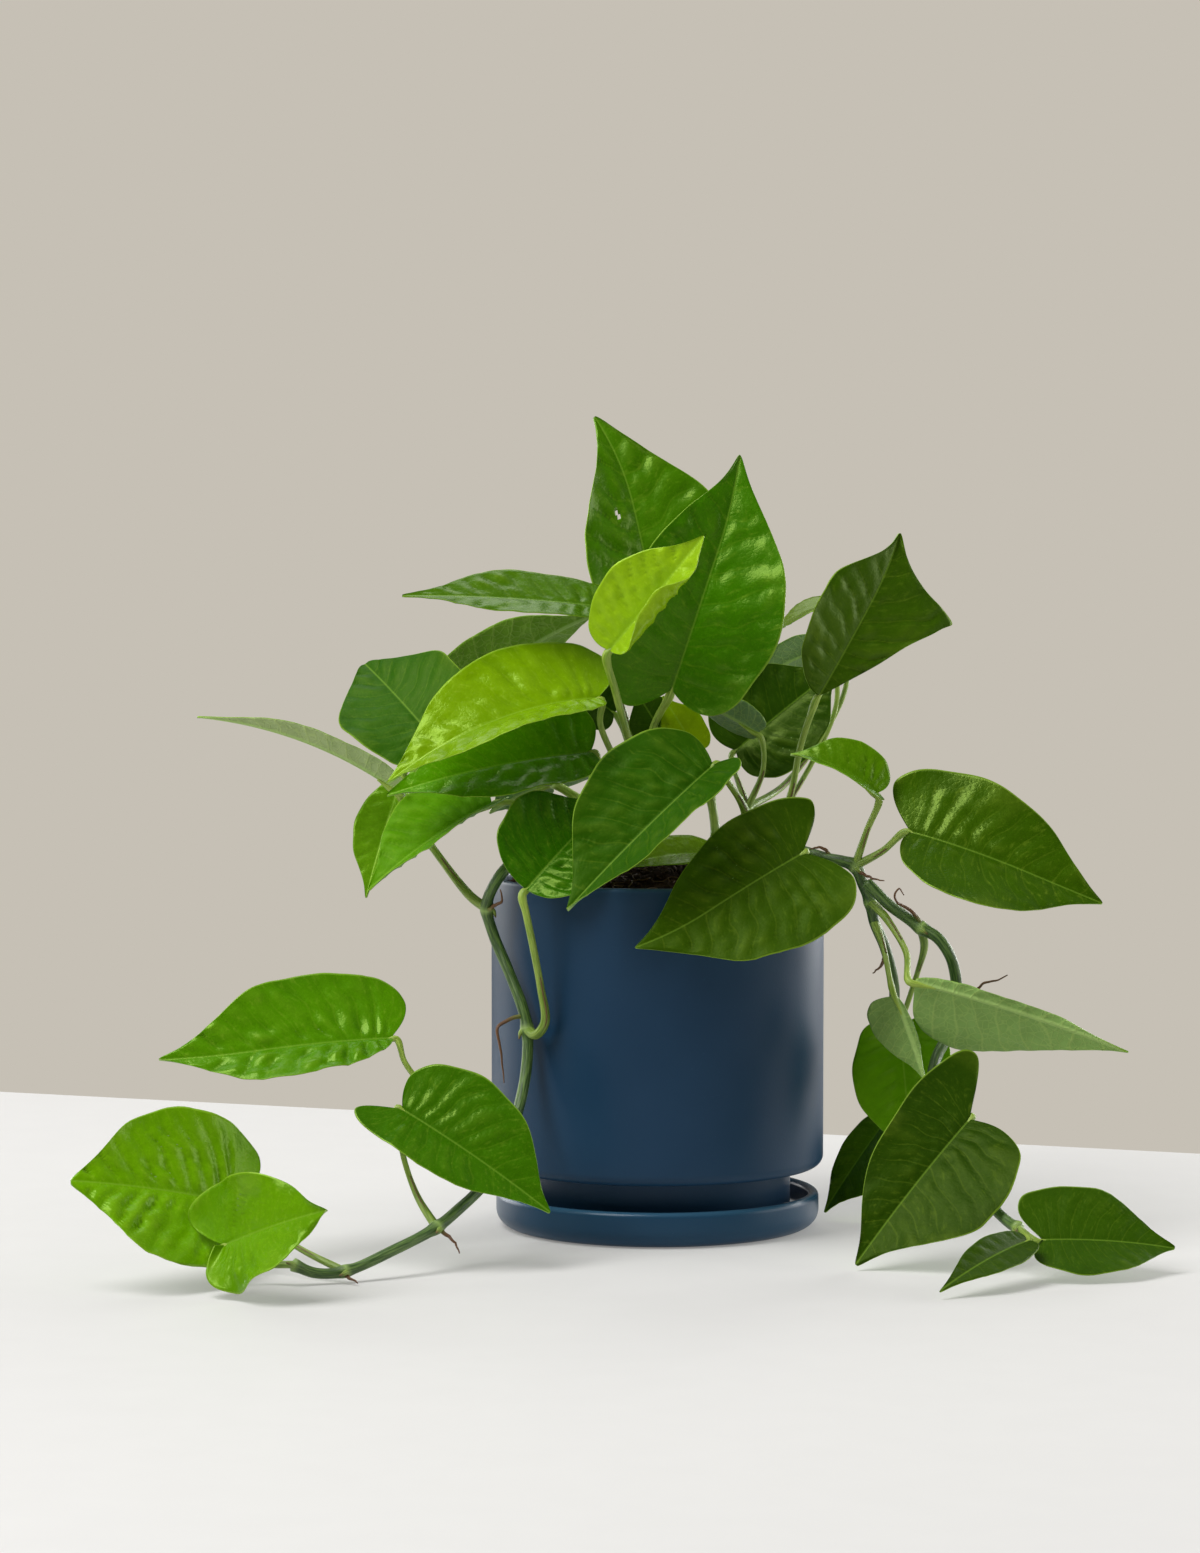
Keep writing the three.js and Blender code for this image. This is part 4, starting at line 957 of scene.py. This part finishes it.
def grow_stalk(growth, leaf, start, via, thick, rng):
    """A leafstalk that sheathes its node, thickens to a joint near the blade and ends under the midrib."""
    _, at = leaf_surface(leaf)
    under = ((-2.6, thick * 0.95 + 0.1), (1.5, thick * 0.95 + 0.35), (9.0, thick * 0.5 + 0.5))
    run = [at(np.array([0.0]), np.array([y]), depth)[0] for y, depth in under]
    path = spline([start, *via, *run])
    length = run_length(path)
    t = length / length[-1]
    long = length[-1] > LONG_STALK
    wide = 0.75 * (1 - smoothstep(t, 0.02, 0.45)) if long else 0.3 * (1 - smoothstep(t, 0, 0.5))
    tail = length[-1] - length
    joint = 0.22 * np.exp(-(((tail - 13) / 3.5) ** 2))
    thin = 0.45 + 0.55 * smoothstep(tail, 0.0, 10.0)
    radius = thick * 0.95 * (1 + 0.35 * wide + joint) * thin
    tone = np.clip(0.55 + 0.45 * t, 0, 1)
    collar = 0.5 * np.exp(-((length / 3.0) ** 2))
    growth.tube(path, radius, 14, tone, collar, flat=1 + 0.45 * wide, offset=rng.uniform(0, 400))
    if long:
        sheath = path[(t > 0.01) & (t < 0.42)] + [0.55, -thick * 1.15, 0.3]
        growth.tube(sheath, 0.38, 6, 0.7, dry=0.85, offset=rng.uniform(0, 400))


def grow_rootlet(growth, root, rng):
    """A thin brown root that wanders to a point."""
    line = spline(root, 0.9)
    t = np.linspace(0, 1, len(line))
    line = line + 0.35 * np.stack([lattice_noise(rng, t * 9 + k, t * 0 + k) for k in (1, 5, 9)], -1)
    dry = 0.35 + 0.65 * smoothstep(t, 0.0, 0.25)
    growth.tube(line, 1.0 - 0.75 * t, 8, 0.4, dry=dry, offset=rng.uniform(0, 400))


def grow_bud(growth, points, i):
    """A pointed bud beside a vine's node, on alternate sides."""
    centre = np.array(points[i], float)
    ahead = np.array(points[min(i + 1, len(points) - 1)], float) - np.array(points[i - 1], float)
    ahead /= np.linalg.norm(ahead)
    out = np.cross(ahead, [0, 0, 1.0])
    out /= np.linalg.norm(out)
    if i % 2:
        out = -out
    shape = ((1.4, 0), (3.1, 1.6), (4.1, 4.4))
    line = spline([centre + out * o + ahead * a for o, a in shape], 0.6)
    t = np.linspace(0, 1, len(line))
    dry = 0.9 * smoothstep(t, 0.5, 1)
    growth.tube(line, 1.5 * (1 - 0.85 * t**1.4), 8, 0.6, ring=0.5 * (1 - t), dry=dry)


def shoot_mesh(name, shoot):
    """One vine or shoot with its leafstalks, rootlets and buds."""
    growth, rng = Growth(), rng_for(name)
    vine = name.startswith("vine")
    points = [list(p) for p in shoot["path"]]
    if not shoot.get("grafted"):
        points[0][2] = soil_height(*points[0][:2]) - PLANTING_DEPTH * 0.6
    grow_stem(growth, shoot, points, vine, rng)
    for leaf, node, via, *thick in shoot["stalks"]:
        grow_stalk(growth, LEAVES[leaf], points[node], via, *(thick or [PETIOLE_RADIUS]), rng)
    for root in shoot.get("rootlets", []):
        grow_rootlet(growth, root, rng)
    for node in shoot["nodes"] if vine else []:
        grow_bud(growth, points, node)
    return growth.mesh("stems_" + name, STEM)


# ---------- planter, saucer, soil ----------


def glaze_material(name, body, pale, rough, lip_z, lip_rough):
    """A dark blue glaze, satin on the wall and glossier on the rim, with a pale band painted along the top of
    the rim as a painted highlight.
    """
    n = Nodes(name)
    place = n.place()
    height = n.split(place)[2]
    cloud = n.noise(place, 14.0, 3.0)
    speck = n.noise(place, 900.0, 2.0, 0.7)
    lip = n.ramp(height, (lip_z - 2.2) * MM, (lip_z - 0.2) * MM)
    glaze = n.mix(n.ramp(cloud, 0.3, 0.7), body, n.mix(0.08, body, pale))
    glaze = n.mix(n.ramp(speck, 0.66, 0.8, 0.0, 0.25), glaze, pale)
    # Painted highlight: a pale band along the top of the rim.
    glaze = n.mix(n.math("MULTIPLY", lip, 0.7), glaze, pale)
    wall_sheen = n.ramp(cloud, 0.3, 0.7, rough, rough + 0.05)
    sheen = n.math("ADD", wall_sheen, n.ramp(lip, 0, 1, 0, lip_rough - rough))
    n.set(Base_Color=glaze, Roughness=sheen, Specular_IOR_Level=0.2)
    n.bump(n.math("ADD", speck, n.math("MULTIPLY", cloud, 2.0)), 0.00006, 0.6)
    return n.material


def pot():
    """The planter: straight glazed wall, round rim, recessed foot ring and drain hole."""
    r = (POT_HIGH[0] - POT_LOW[0]) / 2 / MM
    foot = POT_LOW[2] / MM
    inner, floor, lip = r - POT_WALL, POT_BOTTOM + FLOOR_THICKNESS, POT_WALL / 2
    profile = [
        (DRAIN_RADIUS, POT_BOTTOM),
        *arc(FOOT_RADIUS - FOOT_WALL - 1.5, POT_BOTTOM - 1.5, 1.5, 90, 0, 3),
        *arc(FOOT_RADIUS - FOOT_WALL + 1, foot + 1, 1, 180, 270, 3),
        *arc(FOOT_RADIUS - 1, foot + 1, 1, 270, 360, 3),
        *arc(FOOT_RADIUS + 1.5, POT_BOTTOM - 1.5, 1.5, 180, 90, 3),
        *arc(r - POT_CORNER, POT_BOTTOM + POT_CORNER, POT_CORNER, -90, 0, 10),
        *[(r, z) for z in np.linspace(POT_BOTTOM + 12, RIM - 8, 9)],
        *arc(r - lip, RIM - lip, lip, 0, 180, 12),
        *[(inner, z) for z in np.linspace(RIM - 8, floor + 12, 5)],
        *arc(inner - 6, floor + 6, 6, 0, -90, 6),
        (DRAIN_RADIUS, floor),
        (DRAIN_RADIUS, POT_BOTTOM),
    ]
    material = glaze_material("glazed_pot", color(20, 52, 78), color(60, 92, 124), 0.38, RIM, 0.32)
    finish(make_object("planter", *lathe(profile), [material]), "glazed_pot", "pot")


def saucer():
    """The drip saucer: round lip, gutter round the planter's foot and a low ring to stand on."""
    r = (SAUCER_HIGH[0] - SAUCER_LOW[0]) / 2 / MM
    top = SAUCER_HIGH[2] / MM
    lip = SAUCER_WALL / 2
    profile = [
        (0, 0.8),
        (r - 22, 0.8),
        *arc(r - 19, 0.8, 0.8, 180, 270, 3),
        *arc(r - SAUCER_CORNER, SAUCER_CORNER, SAUCER_CORNER, -90, 0, 12),
        *arc(r - lip, top - lip, lip, 0, 180, 14),
        *arc(r - SAUCER_WALL - 3, SAUCER_FLOOR + 3, 3, 0, -90, 6),
        (FOOT_RADIUS + 1, SAUCER_FLOOR),
        (0, SAUCER_FLOOR),
    ]
    material = glaze_material("glazed_saucer", color(24, 60, 86), color(58, 98, 124), 0.3, top, 0.2)
    finish(make_object("drip_saucer", *lathe(profile), [material]), "glazed_saucer", "saucer")


def soil_material():
    n = Nodes("potting_soil")
    place = n.place()
    clump = n.noise(place, 260.0, 4.0, 0.7)
    grain = n.noise(place, 1400.0, 3.0, 0.7)
    earth = n.mix(n.ramp(clump, 0.3, 0.7), color(30, 18, 12), color(74, 48, 34))
    earth = n.mix(n.ramp(grain, 0.6, 0.85, 0.0, 0.6), earth, color(122, 90, 64))
    n.set(Base_Color=earth, Roughness=0.92, Specular_IOR_Level=0.2)
    n.bump(n.math("ADD", clump, grain), 0.0012, 0.9)
    return n.material


def soil_height(x, y):
    """The smooth height of the heap, before its lumps."""
    share = np.minimum(1, np.hypot(x, y) / SOIL_RADIUS)
    return RIM - SOIL_DROP + SOIL_HEAP * (1 - share * share)


def soil_heap(rng, material, rings=62, segments=180):
    """The lumpy top of the potting mix over a plain body."""
    r = SOIL_RADIUS * np.linspace(1, 0, rings, endpoint=False)[:, None]
    a = np.arange(segments)[None, :] * 2 * math.pi / segments
    x, y = (r * np.cos(a)).ravel(), (r * np.sin(a)).ravel()
    lumps = 1.3 * lattice_noise(rng, x / 6 + 20, y / 6 + 20)
    lumps = lumps + 0.8 * lattice_noise(rng, x / 2.2 + 40, y / 2.2 + 40)
    rough = (lumps + 0.5 * rng.uniform(-1, 1, len(x))) * smoothstep(SOIL_RADIUS - np.hypot(x, y), 0, 3)
    points = [*np.stack([x, y, soil_height(x, y) + rough], -1), [0, 0, soil_height(0, 0)]]
    rows = [range(start, start + segments) for start in range(0, len(x), segments)]
    under = range(len(points), len(points) + segments)
    bottom = SOIL_LOW[2] / MM
    points += [[SOIL_RADIUS * math.cos(t), SOIL_RADIUS * math.sin(t), bottom] for t in a.ravel()]
    faces = join_rows([under, *rows, [len(x)] * segments]) + [tuple(reversed(under))]
    finish(make_object("soil_heap", points, faces, [material]), "potting_soil", "soil")


def soil_crumbs(rng, material):
    """Loose crumbs of many sizes strewn on the heap."""
    corners, sides_of = icosahedron()
    points, faces = [], []
    for _ in range(CRUMBS):
        where = SOIL_RADIUS * 0.97 * rng.uniform() ** 0.5
        t = rng.uniform(0, 2 * math.pi)
        cx, cy = where * math.cos(t), where * math.sin(t)
        size = 0.5 + 1.5 * rng.uniform() ** 2.5
        lump = corners * rng.uniform(0.7, 1.25, (12, 1)) * size * rng.uniform(0.6, 1.2, 3)
        start = len(points)
        points += [*(lump + [cx, cy, float(soil_height(cx, cy)) + 0.35 + 0.3 * size])]
        faces += [(p + start, q + start, s + start) for p, q, s in sides_of]
    finish(make_object("soil_crumbs", points, faces, [material]), "potting_soil")


def soil_fibres(rng):
    """Short bent fibres that lie on the heap."""
    growth = Growth()
    for _ in range(FIBRES):
        where = SOIL_RADIUS * 0.93 * rng.uniform() ** 0.5
        t, lean = rng.uniform(0, 2 * math.pi, 2)
        length = rng.uniform(4, 13)
        line = []
        for u in (-0.5, -0.2, 0.15, 0.5):
            px = where * math.cos(t) + length * u * math.cos(lean + 1.3 * u) + rng.uniform(-0.6, 0.6)
            py = where * math.sin(t) + length * u * math.sin(lean + 1.3 * u) + rng.uniform(-0.6, 0.6)
            px, py = (v * min(1, (SOIL_RADIUS - 1) / math.hypot(px, py)) for v in (px, py))
            lift = 0.9 + rng.uniform(0, 1.8) * (0.5 - abs(u)) * 2
            line.append([px, py, float(soil_height(px, py)) + lift])
        growth.tube(spline(line, 2.0), rng.uniform(0.14, 0.34), 5, 0.5, dry=1.0, offset=rng.uniform(0, 400))
    finish(growth.mesh("soil_fibres", STEM), "potting_soil")


def soil():
    """Heaped potting mix: a lumpy top, loose crumbs and fibres."""
    rng, material = rng_for("soil"), soil_material()
    soil_heap(rng, material)
    soil_crumbs(rng, material)
    soil_fibres(rng)


# ---------- studio, in metres ----------


def tabletop():
    """A pale table whose back edge runs away a little to the right."""
    left, right, front = -2.2, 2.2, -3.2
    back, slope, low = 0.33, -0.384, -0.03
    corners = [(left, front), (right, front), (right, back + slope * right), (left, back + slope * left)]
    points = [(x / MM, y / MM, z / MM) for z in (low, 0) for x, y in corners]
    faces = [(0, 3, 2, 1), (4, 5, 6, 7)] + [(i, (i + 1) % 4, (i + 1) % 4 + 4, i + 4) for i in range(4)]
    n = Nodes("painted_table")
    grain = n.noise(n.place(), 40.0, 3.0)
    n.set(Base_Color=n.mix(grain, color(186, 185, 183), color(190, 189, 187)), Roughness=0.55)
    n.set(Specular_IOR_Level=0.3, Emission_Color=(1, 0.98, 0.95, 1), Emission_Strength=0.2)
    table = make_object("table", points, faces, [n.material])
    table.data.polygons.foreach_set("use_smooth", np.zeros(len(faces), bool))


def studio():
    """The plain wall that the camera sees, and a weaker even light from all round."""
    world = bpy.data.worlds.new("wall")
    world.use_nodes = True
    tree = world.node_tree
    tree.nodes.clear()
    out = tree.nodes.new("ShaderNodeOutputWorld")
    seen, fill, mix = (tree.nodes.new("ShaderNode" + k) for k in ("Background", "Background", "MixShader"))
    path = tree.nodes.new("ShaderNodeLightPath")
    seen.inputs["Color"].default_value = color(198, 192, 181)
    fill.inputs["Color"].default_value = color(232, 230, 224)
    fill.inputs["Strength"].default_value = 0.2
    tree.links.new(path.outputs["Is Camera Ray"], mix.inputs[0])
    tree.links.new(fill.outputs[0], mix.inputs[1])
    tree.links.new(seen.outputs[0], mix.inputs[2])
    tree.links.new(mix.outputs[0], out.inputs[0])
    bpy.context.scene.world = world
    bpy.context.scene.view_settings.view_transform = "Standard"


def softbox(name, place, aim, size, power):
    """A rectangular area light; place, aim and size in metres, power in watts."""
    data = bpy.data.lights.new(name, "AREA")
    data.shape = "RECTANGLE"
    data.size, data.size_y = size
    data.energy = power
    lamp = bpy.data.objects.new(name, data)
    bpy.context.scene.collection.objects.link(lamp)
    lamp.location = place
    lamp.rotation_euler = (Vector(aim) - Vector(place)).to_track_quat("-Z", "Y").to_euler()


def camera():
    data = bpy.data.cameras.new("camera")
    data.sensor_width = 36
    data.lens = CAMERA_LENS
    data.clip_start = 0.05
    eye = bpy.data.objects.new("camera", data)
    bpy.context.scene.collection.objects.link(eye)
    eye.location = CAMERA_PLACE
    eye.rotation_euler = (math.radians(90 - CAMERA_DIP), 0, 0)
    bpy.context.scene.camera = eye


# ---------- the scene ----------

camera()
studio()
tabletop()
softbox("overhead", (-0.8, -0.6, 2.0), (0, -0.1, 0.1), (1.1, 1.1), 33)
softbox("above_back", (-0.3, 1.2, 1.9), (0, 0, 0.1), (1.3, 1.0), 6)
softbox("key", (-1.35, -1.1, 1.45), (0, 0, 0.15), (0.8, 0.8), 18)
softbox("fill", (2.0, 0.1, 0.6), (0, 0, 0.1), (1.4, 1.2), 16)
softbox("left_edge", (-1.4, 1.35, 0.5), (0, 0, 0.1), (1.1, 1.0), 16)
softbox("right_edge", (1.4, 1.35, 0.5), (0, 0, 0.1), (1.2, 1.0), 31)

STEM = stem_material()
pot()
saucer()
soil()
for shoot_name, shoot in SHOOTS.items():
    finish(shoot_mesh(shoot_name, shoot), "stem_green", shoot_name)

UPPER = {
    "leaf_green": upper_material("leaf_green", 0.22, 0.35),
    "leaf_dark": upper_material("leaf_dark", 0.34, 0.2),
    "leaf_bright": upper_material("leaf_bright", 0.2, 0.5),
    "dull": upper_material("leaf_dull", 0.45, 0.2, 0.22),
}
UNDER = under_material("leaf_underside")
SLOTS = {part["node"]: part["material_slot"] for part in frame["record"]["subparts"]}
for leaf_name, leaf in LEAVES.items():
    slot = SLOTS["leaf_" + leaf_name]
    upper = UPPER["dull" if leaf.get("dull") else slot]
    under = upper if leaf.get("alike") else UNDER
    finish(leaf_mesh(leaf_name, leaf, [upper, under]), slot, "leaf_" + leaf_name)
